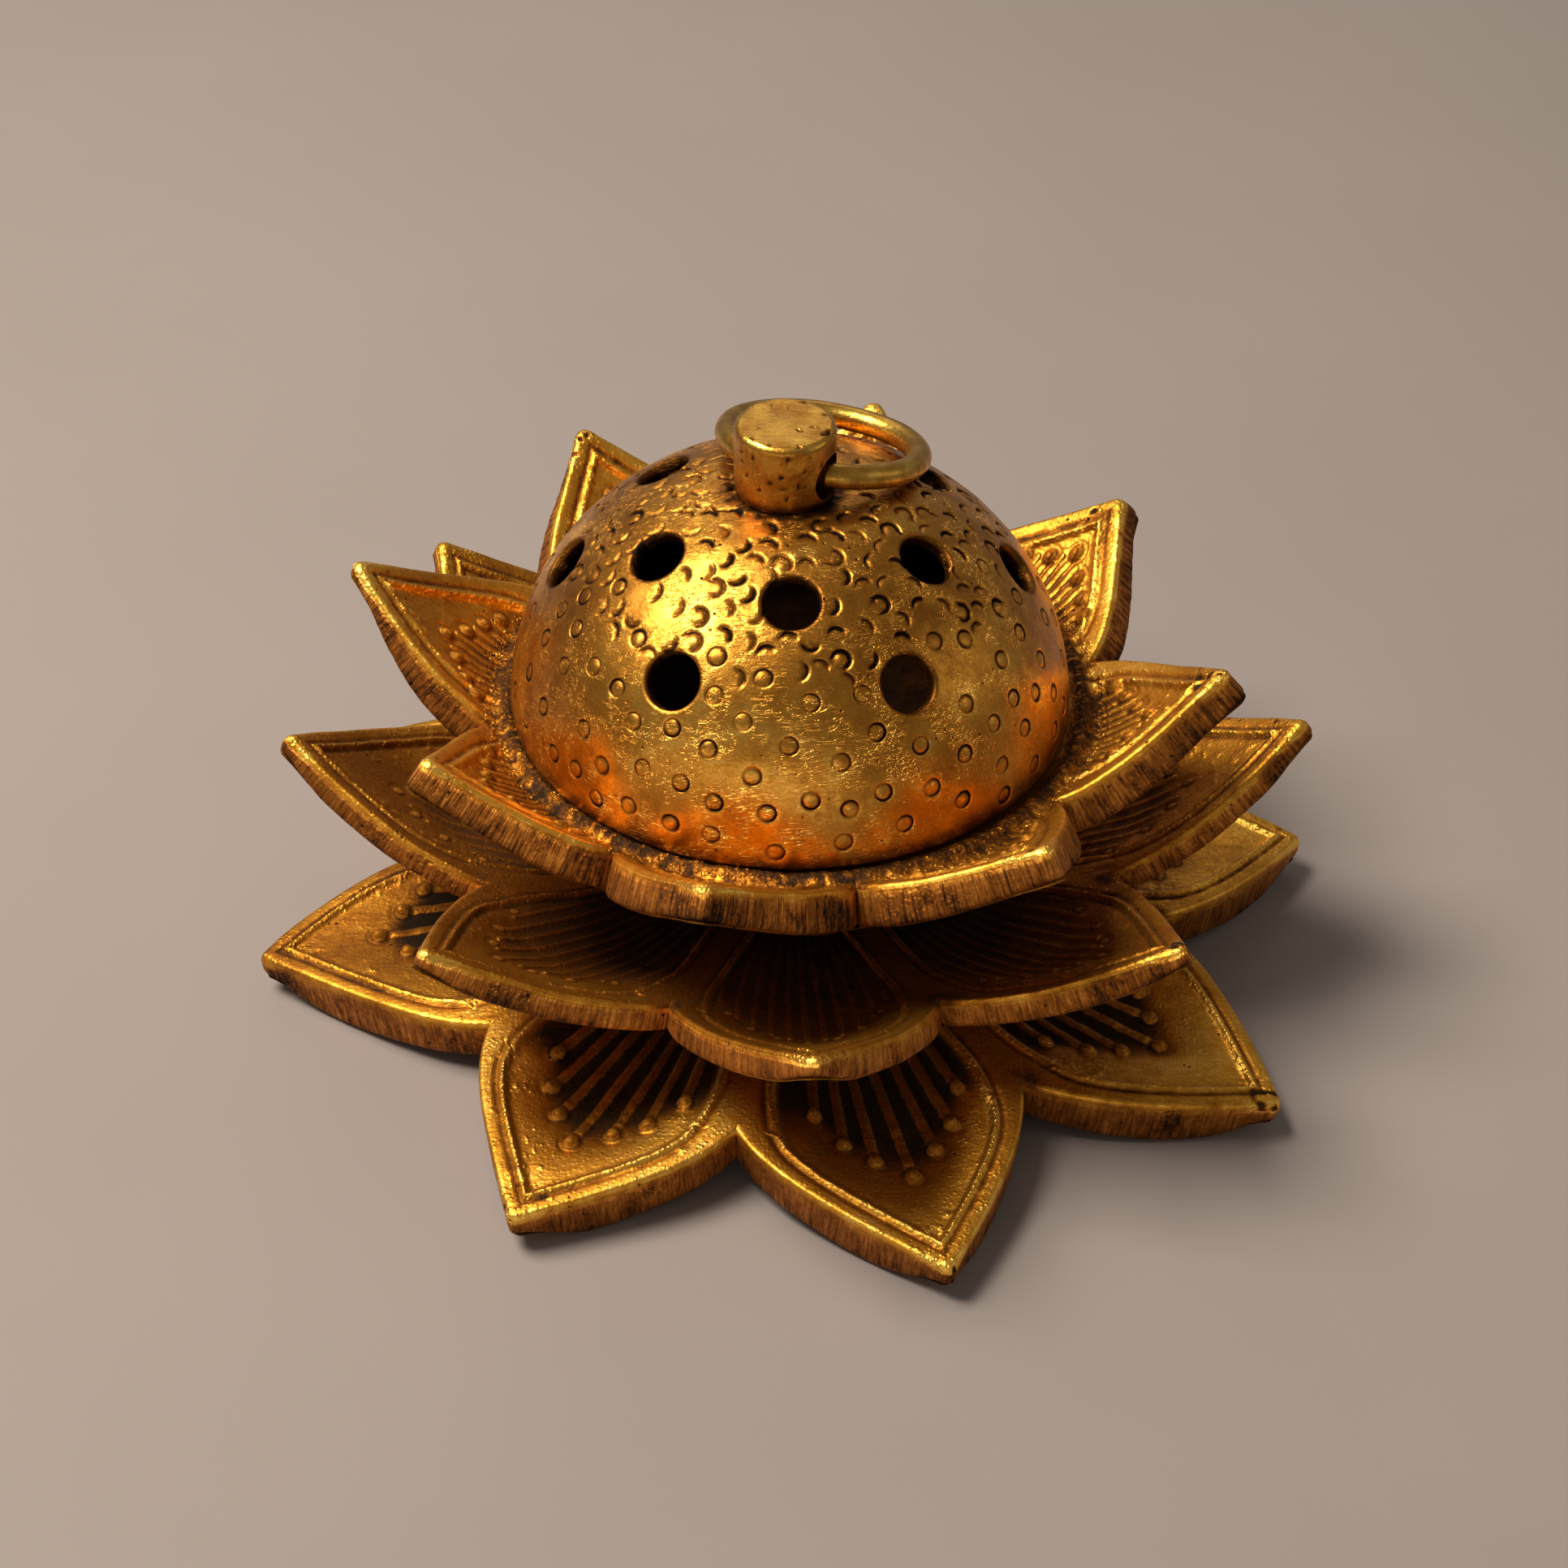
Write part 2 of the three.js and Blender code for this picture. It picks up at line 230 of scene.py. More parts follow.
def grid_faces(indices):
    """Four-sided faces over a table of vertex numbers."""
    corners = (indices[:-1, :-1], indices[:-1, 1:], indices[1:, 1:], indices[1:, :-1])
    return np.stack(corners, -1).reshape(-1, 4).tolist()


def tube_faces(rings):
    """Four-sided faces between rings of vertex numbers, each closed on itself."""
    rings = np.array(rings)
    return grid_faces(np.concatenate([rings, rings[:, :1]], axis=1))


# ---- The shape of a packed tier ----


class Probe:
    """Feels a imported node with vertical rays."""

    REACH = 200

    def __init__(self, node):
        mesh = frame["nodes"][node].data
        points = [v.co / MM for v in mesh.vertices]
        self.tree = BVHTree.FromPolygons(points, [tuple(p.vertices) for p in mesh.polygons])
        self.corners = KDTree(len(points))
        for i, point in enumerate(points):
            self.corners.insert(point, i)
        self.corners.balance()
        self.widest = max(math.hypot(p.x, p.y) for p in points)

    def touch(self, radius, angle, from_below=False):
        """The point and normal met at a radius and angle, or two Nones."""
        side = -1 if from_below else 1
        start = Vector((radius * math.cos(angle), radius * math.sin(angle), side * self.REACH))
        return self.tree.ray_cast(start, Vector((0, 0, -side)))[:2]

    def is_top(self, radius, angle):
        """True on the tier's top face, False on its sawn walls and beyond them."""
        _, normal = self.touch(radius, angle)
        if normal is None:
            return False
        outward = normal.x * math.cos(angle) + normal.y * math.sin(angle)
        across = normal.y * math.cos(angle) - normal.x * math.sin(angle)
        return normal.z > 0.4 and abs(across) < 0.2 and outward < 0.35

    def edge(self, angle):
        """The radius where the top face ends."""
        step = 0.5
        inside = self.widest
        while not self.is_top(inside, angle):
            inside -= step
        outside = inside + step
        for _ in range(7):
            middle = (inside + outside) / 2
            if self.is_top(middle, angle):
                inside = middle
            else:
                outside = middle
        return inside

    def corner_near(self, angle, sign):
        """The place of the outline's corner near an angle: a tip for +1, a valley for -1."""
        near = angle + np.radians(np.arange(-0.6, 0.61, 0.05))
        edges = [self.edge(a) for a in near]
        best = int(np.argmax(sign * np.array(edges)))
        point, _ = self.touch(edges[best], near[best])
        corner, _, _ = self.corners.find(point)
        return complex(corner.x, corner.y)


class Tier:
    """Tips and valleys of a packed tier, and the heights of its faces along a radius."""

    SCAN = 720
    STEP = 0.1  # along a profile
    PAD = 60  # steps added at each end of a profile before it is smoothed
    WALL_SMOOTHING = 5
    UNDERSIDE_SMOOTHING = 3

    def __init__(self, node, bore, smoothing):
        probe = Probe(node)
        angles = np.linspace(0, FULL, self.SCAN, endpoint=False)
        edges = np.array([probe.edge(a) for a in angles])
        tips = []
        for i in np.argsort(-edges):
            apart = all(abs(turn_between(angles[i], angles[t])) > SECTOR / 2 for t in tips)
            if apart and len(tips) < PETALS:
                tips.append(i)
        tips.sort()
        self.tips = [probe.corner_near(angles[i], 1) for i in tips]
        self.valleys = []
        for before, after in zip([tips[-1] - self.SCAN] + tips[:-1], tips):
            between = np.arange(before, after)
            lowest = between[np.argmin(edges[between % self.SCAN])] % self.SCAN
            self.valleys.append(probe.corner_near(angles[lowest], -1))
        self.valleys.append(self.valleys[0])
        self.valley_radius = float(np.mean([abs(v) for v in self.valleys]))
        self.bore = bore
        farthest = max(self.tips, key=abs)
        angle, end = angle_of(farthest), abs(farthest)
        self.top = self.profile(probe, angle, end, smoothing)
        self.soft_top = self.profile(probe, angle, end, self.WALL_SMOOTHING)
        under_smoothing = max(smoothing, self.UNDERSIDE_SMOOTHING)
        self.underside = self.profile(probe, angle, probe.widest - 0.5, under_smoothing, from_below=True)

    def profile(self, probe, angle, end, smoothing, from_below=False):
        """Radii and heights of one face along a petal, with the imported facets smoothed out."""
        radii = np.arange(self.bore + 0.05, end - 0.3, self.STEP)
        beside = angle + 0.002  # off the mesh edge that runs up to the tip
        heights = np.array([probe.touch(r, beside, from_below)[0].z for r in radii])
        onwards = heights[-1] + (heights[-1] - heights[-21]) * np.arange(1, self.PAD + 1) / 20
        padded = np.concatenate([np.full(self.PAD, heights[0]), heights, onwards])
        kernel = np.hanning((int(smoothing / self.STEP) | 1) + 2)[1:-1]
        smooth = np.convolve(padded, kernel / kernel.sum(), "same")
        reach = np.arange(-self.PAD, len(radii) + self.PAD) * self.STEP + radii[0]
        kept = slice(self.PAD // 2, -self.PAD // 2)
        return reach[kept], smooth[kept]

    def height(self, radius, face):
        return np.interp(radius, *face)

    def slope(self, radius, face):
        return np.interp(radius, face[0], np.gradient(face[1], face[0]))


# ---- Petals ----

# The side of a petal is one cubic curve from its valley to its tip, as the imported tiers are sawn.
VALLEY_LEAN = math.radians(-12)
VALLEY_PULL = 0.36
TIP_HALF_ANGLE = math.radians(42)
TIP_PULL = 0.46
EDGE_ROUND = 0.42
PATTERN_SOFT = 1.7  # how roundly the pattern turns the corner at a valley
DISH_SOFT = 1.8

# Columns of a petal's mesh: distances from its edge, then an even field between them.
EDGE_COLUMNS = np.array(
    [0, 0.05, 0.13, 0.23, 0.36, 0.6, 0.9, 1.1, 1.3, 1.5, 1.7, 1.88, 2.06, 2.24, 2.42, 2.62, 2.9]
)
FIELD_COLUMNS = 51
UNDERSIDE_STEP = 6  # the underside keeps one column in six
PETAL_ROWS = 78
WALL_SHARES = (0.08, 0.22, 0.38, 0.54, 0.68, 0.8, 0.89, 0.96, 1)  # down the wall from the top face
FOOT_ROUND = 0.8


def petal_side(valley, tip, side, tip_round):
    """One side of a petal, up to where its blunt tip begins."""
    length = abs(tip) - abs(valley) * math.cos(SECTOR / 2)
    axis = angle_of(tip)
    leave = on_circle(VALLEY_PULL * length, axis - side * VALLEY_LEAN)
    arrive = on_circle(TIP_PULL * length, axis + math.pi + side * TIP_HALF_ANGLE)
    t = np.linspace(0, 1, 400)
    line = (1 - t) ** 3 * valley + 3 * (1 - t) ** 2 * t * (valley + leave)
    line = line + 3 * (1 - t) * t * t * (tip + arrive) + t**3 * tip
    line = line[abs(line - tip) >= tip_round / math.tan(TIP_HALF_ANGLE)]
    run = run_along(line.real, line.imag)
    steps = np.linspace(0, run[-1], PETAL_ROWS + 1)
    return np.interp(steps, run, line.real) + 1j * np.interp(steps, run, line.imag)


def row_shares(width, left_slant, right_slant):
    """Where the columns of a row stand, as shares of its width."""
    left = EDGE_COLUMNS * left_slant
    right = EDGE_COLUMNS * right_slant
    squeeze = min(1, 0.8 * width / (left[-1] + right[-1]))
    left, right = left * squeeze, right * squeeze
    field = np.linspace(left[-1], width - right[-1], FIELD_COLUMNS + 2)[1:-1]
    return np.concatenate([left, field, width - right[::-1]]) / width


def petal_rows(tier, k, inner_radii, tip_round):
    """The mesh of one petal seen from above, as rows of places, and its edge: two sides and a blunt tip."""
    left_valley, right_valley, tip = tier.valleys[k], tier.valleys[k + 1], tier.tips[k]
    start = angle_of(left_valley)
    sweep = (angle_of(right_valley) - start) % FULL
    rows = [on_circle(radius, start + sweep * row_shares(radius * sweep, 1, 1)) for radius in inner_radii]
    left = petal_side(left_valley, tip, 1, tip_round)
    right = petal_side(right_valley, tip, -1, tip_round)
    blunt = tip_round * (1 - math.sin(TIP_HALF_ANGLE))
    for j in range(1, PETAL_ROWS + 1):
        a, b = left[j], right[j]
        slants = []
        for line in (left, right):
            along = line[j] - line[j - 1]
            lean = abs((along * np.conj(line[j])).real) / (abs(along) * abs(line[j]))
            slants.append(1 / max(lean, 0.5))
        start = angle_of(a)
        sweep = turn_between(start, angle_of(b))
        share = row_shares(abs(a) * sweep, *slants)
        bulge = blunt * (j / PETAL_ROWS) ** 6 * 4 * share * (1 - share)
        rows.append(on_circle(abs(a) + (abs(b) - abs(a)) * share + bulge, start + share * sweep))
    return np.array(rows), (left[::2], right[::2], rows[-1][::8])


def soft_least(first, second, size):
    """The smaller of two distances, turning smoothly from one to the other."""
    return -size * np.log(np.exp(-first / size) + np.exp(-second / size))


def both_sides(marks):
    """Marks given as (sideways, outwards), on both sides of a petal's middle line, as places."""
    for sideways, outwards in marks:
        for side in (1, -1) if sideways else (1,):
            yield side, sideways, outwards, complex(outwards, side * sideways)


def petal_relief(style, place, tip, sides, points):
    """The pattern of one petal: its height, its look's layers and its distance from the petal's edge."""
    left, right, blunt = sides
    to_edge = distance_to_line(place, blunt)
    reach = []
    for side in (left, right):
        to_side = distance_to_line(place, side)
        to_edge = np.minimum(to_edge, to_side)
        to_neighbour = distance_to_line(place, np.array([0, side[0]]))
        reach.append(soft_least(to_side, to_neighbour, PATTERN_SOFT))
    e = np.minimum(*reach)
    own = place * np.exp(-1j * angle_of(tip))  # along +X from the tier's middle to the tip
    grain, fine = noise(points, 0.9, 1), noise(points, 0.45, 2)
    broad, luck = noise(points, 7, 3), noise(points, 19, 5)
    relief = 0.05 * broad + 0.025 * noise(points, 2.6, 4) + 0.006 * fine
    dirt = style.dirt + 0.1 * broad + 0.12 * luck
    near_tip = smoothstep(6, 1, abs(place - tip))
    wear = smoothstep(0.7, 0.1, to_edge) * np.clip(0.15 + 0.4 * grain + 0.3 * luck + 0.5 * near_tip, 0, 1)

    # The border: a sunk and dished middle, a groove and a bead.
    bead_at = style.bead_at
    relief -= style.sink * smoothstep(bead_at - 0.3, bead_at + 0.8, e)
    relief -= style.dish * smoothstep(bead_at, bead_at + 7, soft_least(*reach, DISH_SOFT))
    for at, half, depth in style.grooves:
        cut = hump(e - at, half) * (0.8 + 0.35 * grain)
        relief -= depth * cut
        dirt += 0.5 * cut
    at, half, rise, broken = style.bead
    bead = hump(e - at, half) * np.clip(1 + broken * (grain + 0.8 * fine + 0.8 * luck), 0.1, 1.5)
    relief += rise * bead
    wear = np.maximum(wear, style.bead_wear * np.minimum(bead, 1) * (0.6 + 0.8 * np.maximum(grain, 0)))
    dirt *= 1 - 0.3 * np.minimum(bead, 1)

    # Veins and dots. Distances from them are kept, for the look to draw them sharply.
    field = smoothstep(bead_at + 0.25, bead_at + 0.9, e)
    dot_line = np.interp(abs(own.imag), *np.transpose(style.dots))
    veined = field * smoothstep(1.8, -2.6, own.real - dot_line + 1.2 * broad + 1.5 * luck)
    dirt += style.vein_dirt * veined
    # Painted shade, with old patina: the field darkens towards the tier's middle, under the tier above.
    dirt += 0.12 * field * smoothstep(style.dark_to, style.dark_from, own.real + 2 * broad)
    to_vein, to_dot = np.ones(place.shape), np.ones(place.shape)
    t = np.linspace(0, 1, 7)
    for side, sideways, outwards, start in both_sides(style.veins):
        end = complex(style.gather[1], side * sideways * style.gather[0])
        middle = (start + end) / 2 + 1j * side * sideways * style.vein_bow
        line = (1 - t) ** 2 * start + 2 * t * (1 - t) * middle + t * t * end
        half = style.vein_half * (0.75 + 0.25 * smoothstep(style.gather[1], outwards, own.real))
        to_vein = np.minimum(to_vein, distance_to_line(own, line) - half)
    for _, _, _, dot in both_sides(style.dots):
        to_dot = np.minimum(to_dot, abs(own - dot) - style.dot_radius)
    ridges = field * smoothstep(0.24, -0.2, to_vein)
    relief += style.vein_rise * ridges * (1 + 0.3 * grain + 0.2 * fine) - 0.12 * veined
    relief += style.dot_rise * smoothstep(0.16, -0.5, to_dot) - 0.1 * hump(to_dot - 0.3, 0.3)
    bare = style.vein_dirt * style.vein_clean * veined * smoothstep(14, 28, abs(place))

    # Casting grains near the border, pits near the tip and grime in the valleys.
    seeds = noise(points, 0.62, 7) + 0.5 * noise(points, 3.1, 8)
    granules = smoothstep(0.55, 0.9, seeds) * smoothstep(0.5, 1.2, e) * smoothstep(6.5, 2.6, e)
    relief += style.granules * granules
    wear = np.maximum(wear, 4 * style.granules * granules)
    pits = smoothstep(0.62, 0.86, noise(points, 0.7, 11) + 0.35 * broad) * near_tip
    relief -= 0.12 * pits
    hollow = np.minimum(abs(place - left[0]), abs(place - right[0]))
    dirt += 0.9 * pits + 0.5 * smoothstep(2.4, 0.7, hollow) * smoothstep(-0.5, 0.5, luck + 0.6 * grain)
    grit = 0.12 + 0.3 * bead + 0.3 * near_tip + 0.3 * smoothstep(0.2, 0.9, seeds) * smoothstep(8, 3, e)
    return relief, dict(dirt=dirt, wear=wear, grit=grit, bare=bare, vein=to_vein, dot=to_dot), to_edge


# What a tier's look reads at each point, and its value on plain metal. The darkness layer holds real dirt
# together with painted shade.
PLAIN_LAYERS = dict(dirt=0.45, wear=0.1, grit=0.4, bare=0.0, vein=1.0, dot=1.0, wall=0.0, along=0.0)


class Casting:
    """Gathers the points, layers and faces of one tier."""

    def __init__(self):
        self.points, self.faces, self.count = [], [], 0
        self.layers = {layer: [] for layer in PLAIN_LAYERS}

    def add(self, points, **values):
        """Adds points and returns their numbers. A layer that isn't given has its plain value."""
        shape = points.shape[:-1]
        numbers = np.arange(math.prod(shape)).reshape(shape) + self.count
        self.points.append(points.reshape(-1, 3))
        for layer, plain in PLAIN_LAYERS.items():
            self.layers[layer].append(np.broadcast_to(values.get(layer, plain), shape).reshape(-1))
        self.count += numbers.size
        return numbers


def petal_faces(tier, k, style, inner_radii):
    """The points of a petal's top face and underside, and the layers of its top."""
    place, sides = petal_rows(tier, k, inner_radii, style.tip_round)
    radius, from_tip = abs(place), abs(place - tier.tips[k])
    base = lifted(place, tier.height(radius, tier.top))
    relief, found, to_edge = petal_relief(style, place, tier.tips[k], sides, base)
    found["dirt"] = found["dirt"] + np.broadcast_to(style.petal_dirt, PETALS)[k]
    begins = smoothstep(*style.begins, radius)
    relief = style.centre(base, relief * begins, found, begins)
    edge_round = EDGE_ROUND * (1 + 0.9 * smoothstep(4, 0.5, from_tip))
    rounding = np.clip(1 - to_edge / edge_round, 0, 1)
    relief -= edge_round * (1 - np.sqrt(1 - rounding**2))
    slope = tier.slope(radius, tier.top)
    flatness = 1 / np.sqrt(1 + slope**2)
    outward = np.exp(1j * np.angle(place))
    top = lifted(place - outward * slope * flatness * relief, base[..., 2] + flatness * relief)

    # Each point of the underside is square below the top face, as the walls are.
    lean = tier.slope(radius, tier.soft_top)
    lean = lean * smoothstep(0.8 * tier.valley_radius, tier.valley_radius, radius)
    depth = base[..., 2] - tier.height(radius, tier.underside)
    for _ in range(4):
        depth = base[..., 2] - tier.height(radius + lean * depth, tier.underside)
    thinned = smoothstep(style.thin_reach, 0.5, from_tip) ** 1.5
    depth = depth * (1 - np.broadcast_to(style.tip_thin, PETALS)[k] * thinned)
    below = lifted(outward * (radius + lean * depth), base[..., 2] - depth)
    rough = noise(below, 3, 21) + 0.5 * noise(below, 1.1, 22)
    stands = smoothstep(0.05, 0.5, below[..., 2])  # a foot stays flat on the table
    below[..., 2] += style.underside * rough * stands
    return top, below, found


def add_walls(casting, style, k, top, below, top_numbers, found, first):
    """The filed wall round a petal, as rings of points going down. Returns the numbers of its last ring by
    row and column."""
    rows, columns = top_numbers.shape
    loop = [(j, 0) for j in range(first, rows)]
    loop += [(rows - 1, i) for i in range(1, columns)]
    loop += [(j, columns - 1) for j in range(rows - 2, first - 1, -1)]
    j, i = np.array(loop).T
    rim_top, rim_below = top[j, i], below[j, i]
    run = run_along(*rim_top.T)
    rim = rim_top[:, 0] + 1j * rim_top[:, 1]
    near = 0.6  # the wall's direction is taken over this much of the run on each side
    away = (np.interp(run + near, run, rim) - np.interp(run - near, run, rim)) * -1j
    away = away / abs(away)
    height = np.linalg.norm(rim_below - rim_top, axis=1)
    along = run + 100.0 * k  # so that no two petals have the same file marks
    last_ring = top_numbers[j, i]
    for share in WALL_SHARES:
        wall = rim_top + (rim_below - rim_top) * share
        tall = np.stack([along, np.full(len(along), 3.0 * share)], -1)
        marks = noise(tall * [1, 0.12], style.file_pitch, 31) + 0.5 * noise(tall, 2.4, 32)
        shape = style.file_depth * marks * math.sin(math.pi * min(share, 1 - share) + 0.3)
        low = np.clip(1 - (1 - share) * height / FOOT_ROUND, 0, 1)
        shift = away * (shape - FOOT_ROUND * 0.9 * (1 - np.sqrt(1 - low**2 * 0.98)))
        wall += lifted(shift, 0)
        mottle = noise(wall, 2.2, 33) + 0.6 * noise(wall, 0.8, 34)
        stain = smoothstep(0.35, 0.75, noise(wall, 3.4, 35) + 0.5 * noise(wall, 0.9, 36))
        ring = casting.add(
            wall,
            dirt=0.36 + 0.12 * mottle + 0.2 * share**2 + 0.2 * stain,
            wear=found["wear"][j, i] * smoothstep(0.3, 0, share),
            grit=0.15 + 0.5 * stain,
            wall=smoothstep(0, 0.25, share),
            along=along,
        )
        casting.faces += grid_faces(np.array([last_ring, ring]))
        last_ring = ring
    return dict(zip(loop, last_ring))


def add_underside(casting, below, top_numbers, ring_at):
    """The underside has fewer columns, so faces of many corners join it to the tip and the bore."""
    rows, columns = top_numbers.shape
    kept = range(0, columns, UNDERSIDE_STEP)
    under = np.array([[ring_at.get((j, i), -1) for i in kept] for j in range(rows)])
    free = under < 0
    spots = below[:, kept][free]
    under[free] = casting.add(spots, dirt=0.45 + 0.2 * noise(spots, 4, 41))
    casting.faces += [face[::-1] for face in grid_faces(under[:-1])]
    for c in range(len(kept) - 1):
        rim = [ring_at[(rows - 1, i)] for i in range(kept[c], kept[c + 1] + 1)]
        casting.faces.append([under[-2, c], *rim, under[-2, c + 1]])
        bore = top_numbers[0, kept[c] : kept[c + 1] + 1]
        casting.faces.append([under[0, c], *bore, under[0, c + 1]])


def tier_piece(name, node, body, look, style, tier, inner_radii):
    """One tier's casting: chased top, filed walls and plain underside, as one closed mesh."""
    casting = Casting()
    for k in range(PETALS):
        top, below, found = petal_faces(tier, k, style, inner_radii)
        numbers = casting.add(top, **found)
        casting.faces += grid_faces(numbers)
        ring_at = add_walls(casting, style, k, top, below, numbers, found, len(inner_radii) - 1)
        add_underside(casting, below, numbers, ring_at)
    layers = {layer: np.concatenate(values) for layer, values in casting.layers.items()}
    points = np.concatenate(casting.points)
    make_piece(name, node, body, look, points, casting.faces, layers)


def plain_centre(undarkened_from, dark_to):
    """A tier whose middle is hidden under the one above: flat, and dark with old dirt and painted shade."""

    def centre(base, relief, found, begins):
        # painted shade, with old dirt: darker and less worn towards the middle, under the tier above
        shade = smoothstep(undarkened_from, dark_to, np.hypot(base[..., 0], base[..., 1]))
        found["dirt"] = found["dirt"] + 0.15 * shade
        found["wear"] = found["wear"] * (1 - 0.8 * shade)
        return relief

    return centre


SEAT_EDGE = 25.2  # where the grimy seam round the lid begins
RIM_RADIUS = 27.5


def bowl_centre(base, relief, found, begins):
    """The top tier's bowl and seat: sooty inside, with a rough bright rim and old grime round the lid."""
    radius = np.hypot(base[..., 0], base[..., 1])
    coarse, fine, broad = noise(base, 0.8, 51), noise(base, 0.4, 52), noise(base, 5, 53)
    rim = hump(radius - RIM_RADIUS, 1.3)
    soot = smoothstep(SEAT_EDGE + 0.2, SEAT_EDGE - 1.2, radius)
    seam = smoothstep(SEAT_EDGE + 2.1, SEAT_EDGE + 1, radius + 0.3 * coarse + 0.3 * broad)
    seam = seam * smoothstep(SEAT_EDGE, SEAT_EDGE + 0.4, radius)
    relief = relief + rim * (0.09 * coarse + 0.06 * fine) + seam * (0.25 + 0.16 * coarse + 0.1 * fine)
    dirt = found["dirt"] * begins + 0.2 * (1 - begins) + 0.6 * soot + rim * 0.4 * np.clip(-coarse, 0, 1)
    found["dirt"] = dirt + seam * (0.65 - 0.5 * smoothstep(0.1, 0.7, fine))
    found["wear"] = found["wear"] * begins + 0.3 * rim * smoothstep(0.1, 0.7, coarse)
    found["grit"] = np.maximum(found["grit"] * begins, np.maximum(rim, seam))
    found["bare"] = found["bare"] * begins
    for layer in ("vein", "dot"):
        found[layer] = found[layer] + 2 * (1 - begins)
    return relief + soot * 0.04 * coarse


def chased(tip_radius, dots, **changes):
    """A petal's pattern. Dots and veins are (sideways, outwards) in millimetres."""
    style = dict(
        dirt=0.2,
        petal_dirt=0,  # more of it, for all petals or each in turn from +X to +Y
        bead_at=2.05,
        sink=0.25,
        dish=1.1,
        grooves=[(1.45, 0.36, 0.2)],  # distance from the edge, half width, depth
        bead=(2.06, 0.46, 0.28, 0.16),  # distance from the edge, half width, rise, brokenness
        bead_wear=0.25,
        dots=dots,
        veins=dots,
        gather=(0.35, 12),  # the veins' spread and distance from the middle at their inner ends
        vein_half=0.48,
        vein_bow=0,
        vein_rise=0.34,
        vein_dirt=0.72,
        vein_clean=0.8,
        dot_radius=0.76,
        dot_rise=0.34,
        # where the painted shade towards the tier's middle is full, and where it ends
        dark_from=0.5 * tip_radius,
        dark_to=0.72 * tip_radius,
        granules=0.09,
        begins=(0, 1),
        underside=0.05,
        tip_thin=0.3,  # of the thickness, for all petals or each in turn from +X to +Y
        thin_reach=8,
        tip_round=0.8,
        file_pitch=0.55,
        file_depth=0.035,
        centre=plain_centre(26, 12),
    )
    return SimpleNamespace(**(style | changes))


LOWER_STYLE = chased(
    50,
    [(0, 39.3), (2.7, 36.9), (4.9, 34.6), (6.6, 31.0)],
    petal_dirt=(0.05, 0, 0, 0, 0.14, 0, 0, 0.04),
    tip_thin=0.42,
)
MIDDLE_STYLE = chased(
    45.2,
    [(0, 36.2), (2.5, 34.6), (4.7, 32.2), (6.6, 28.8)],
    veins=[(0, 35.6), (1.5, 35), (3.0, 33.6), (4.4, 31.8), (5.8, 29.6), (7.2, 26.5)],
    dirt=0.34,
    bead_at=1.75,
    grooves=[(1.3, 0.26, 0.14), (2.25, 0.26, 0.12)],
    bead=(1.75, 0.34, 0.2, 0.3),
    bead_wear=0.2,
    sink=0.15,
    dish=0.6,
    vein_half=0.2,
    vein_bow=0.35,
    vein_rise=0.2,
    vein_dirt=0.28,
    vein_clean=1.1,
    dot_radius=0.4,
    dot_rise=0.15,
    centre=plain_centre(30, 18),
)
UPPER_STYLE = chased(
    38,
    [(0, 31.9), (2.1, 30.5), (4.2, 29.4), (6.0, 28.2)],
    veins=[(0, 31.9), (1.1, 31), (2.1, 30.5), (3.2, 29.9), (4.2, 29.4), (5.4, 28.6)],
    gather=(0.6, 22),
    bead_at=1.95,
    grooves=[(1.3, 0.34, 0.2)],
    bead=(1.95, 0.4, 0.28, 0.3),
    dish=0.35,
    vein_half=0.28,
    vein_rise=0.12,
    vein_dirt=0.45,
    dot_radius=0.6,
    dot_rise=0.36,
    granules=0.1,
    begins=(26.3, 27.3),
    file_pitch=0.62,
    file_depth=0.08,
    tip_round=1.2,
    tip_thin=(0.4, 0.7, 0.78, 0.75, 0.4, 0.4, 0.4, 0.4),
    thin_reach=20,
    centre=bowl_centre,
)


def rising_rows(start, end, closest, widest):
    """Radii from start to end whose spacing shrinks from widest to closest."""
    share = np.linspace(0, 1, int((end - start) * 2 / (closest + widest)) + 1)
    bend = (widest - closest) / (widest + closest)
    return start + (end - start) * (share * (1 + bend) - bend * share**2)


def even_rows(tier, start, end, spacing):
    """Radii from start to end at an even spacing along the tier's top face."""
    radii = np.linspace(start, end, 2000)
    run = run_along(radii, tier.height(radii, tier.top))
    return np.interp(np.linspace(0, run[-1], int(run[-1] / spacing) + 1), run, radii)


# ---- Dome ----

VENT_RADIUS = 2.4
VENT_RINGS = ((13.4, 0), (20.0, 30))  # radius, and the first vent's degrees from -Y
VENTS_IN_RING = 6
CRESCENT = SimpleNamespace(radius=0.76, half_width=0.28, depth=0.25, cup=0.02, dirt=0.8)
CIRCLE = SimpleNamespace(radius=0.74, half_width=0.17, depth=0.14, cup=0.0, dirt=0.9)
PUNCH_PROFILE = ((-1.5, -0.9, 0.3, 0.75), (0, 0.35, 1, 0))  # a steep outer wall and a shallow inner one
PUNCH_RINGS = np.array([-1.5, -0.9, -0.2, 0.3, 0.75, 1.6])  # in half widths from the middle of the cut
CRESCENT_ZONE = 18.6  # punched close inside this radius, and openly outside it
PLAIN_CROWN = 5.7  # no marks inside this radius, beside the knob
PLAIN_FOOT = 1.6  # nor this close above the widest ring
PUNCH_TRIES = 14000
DOME_STEPS, VENT_STEPS, BORE_STEPS, CRUST_STEPS = 160, 48, 24, 80
LID_BORE = 2.1
CRUST_RADII = np.arange(4.3, 6.4, 0.3)  # old polish caked round the knob


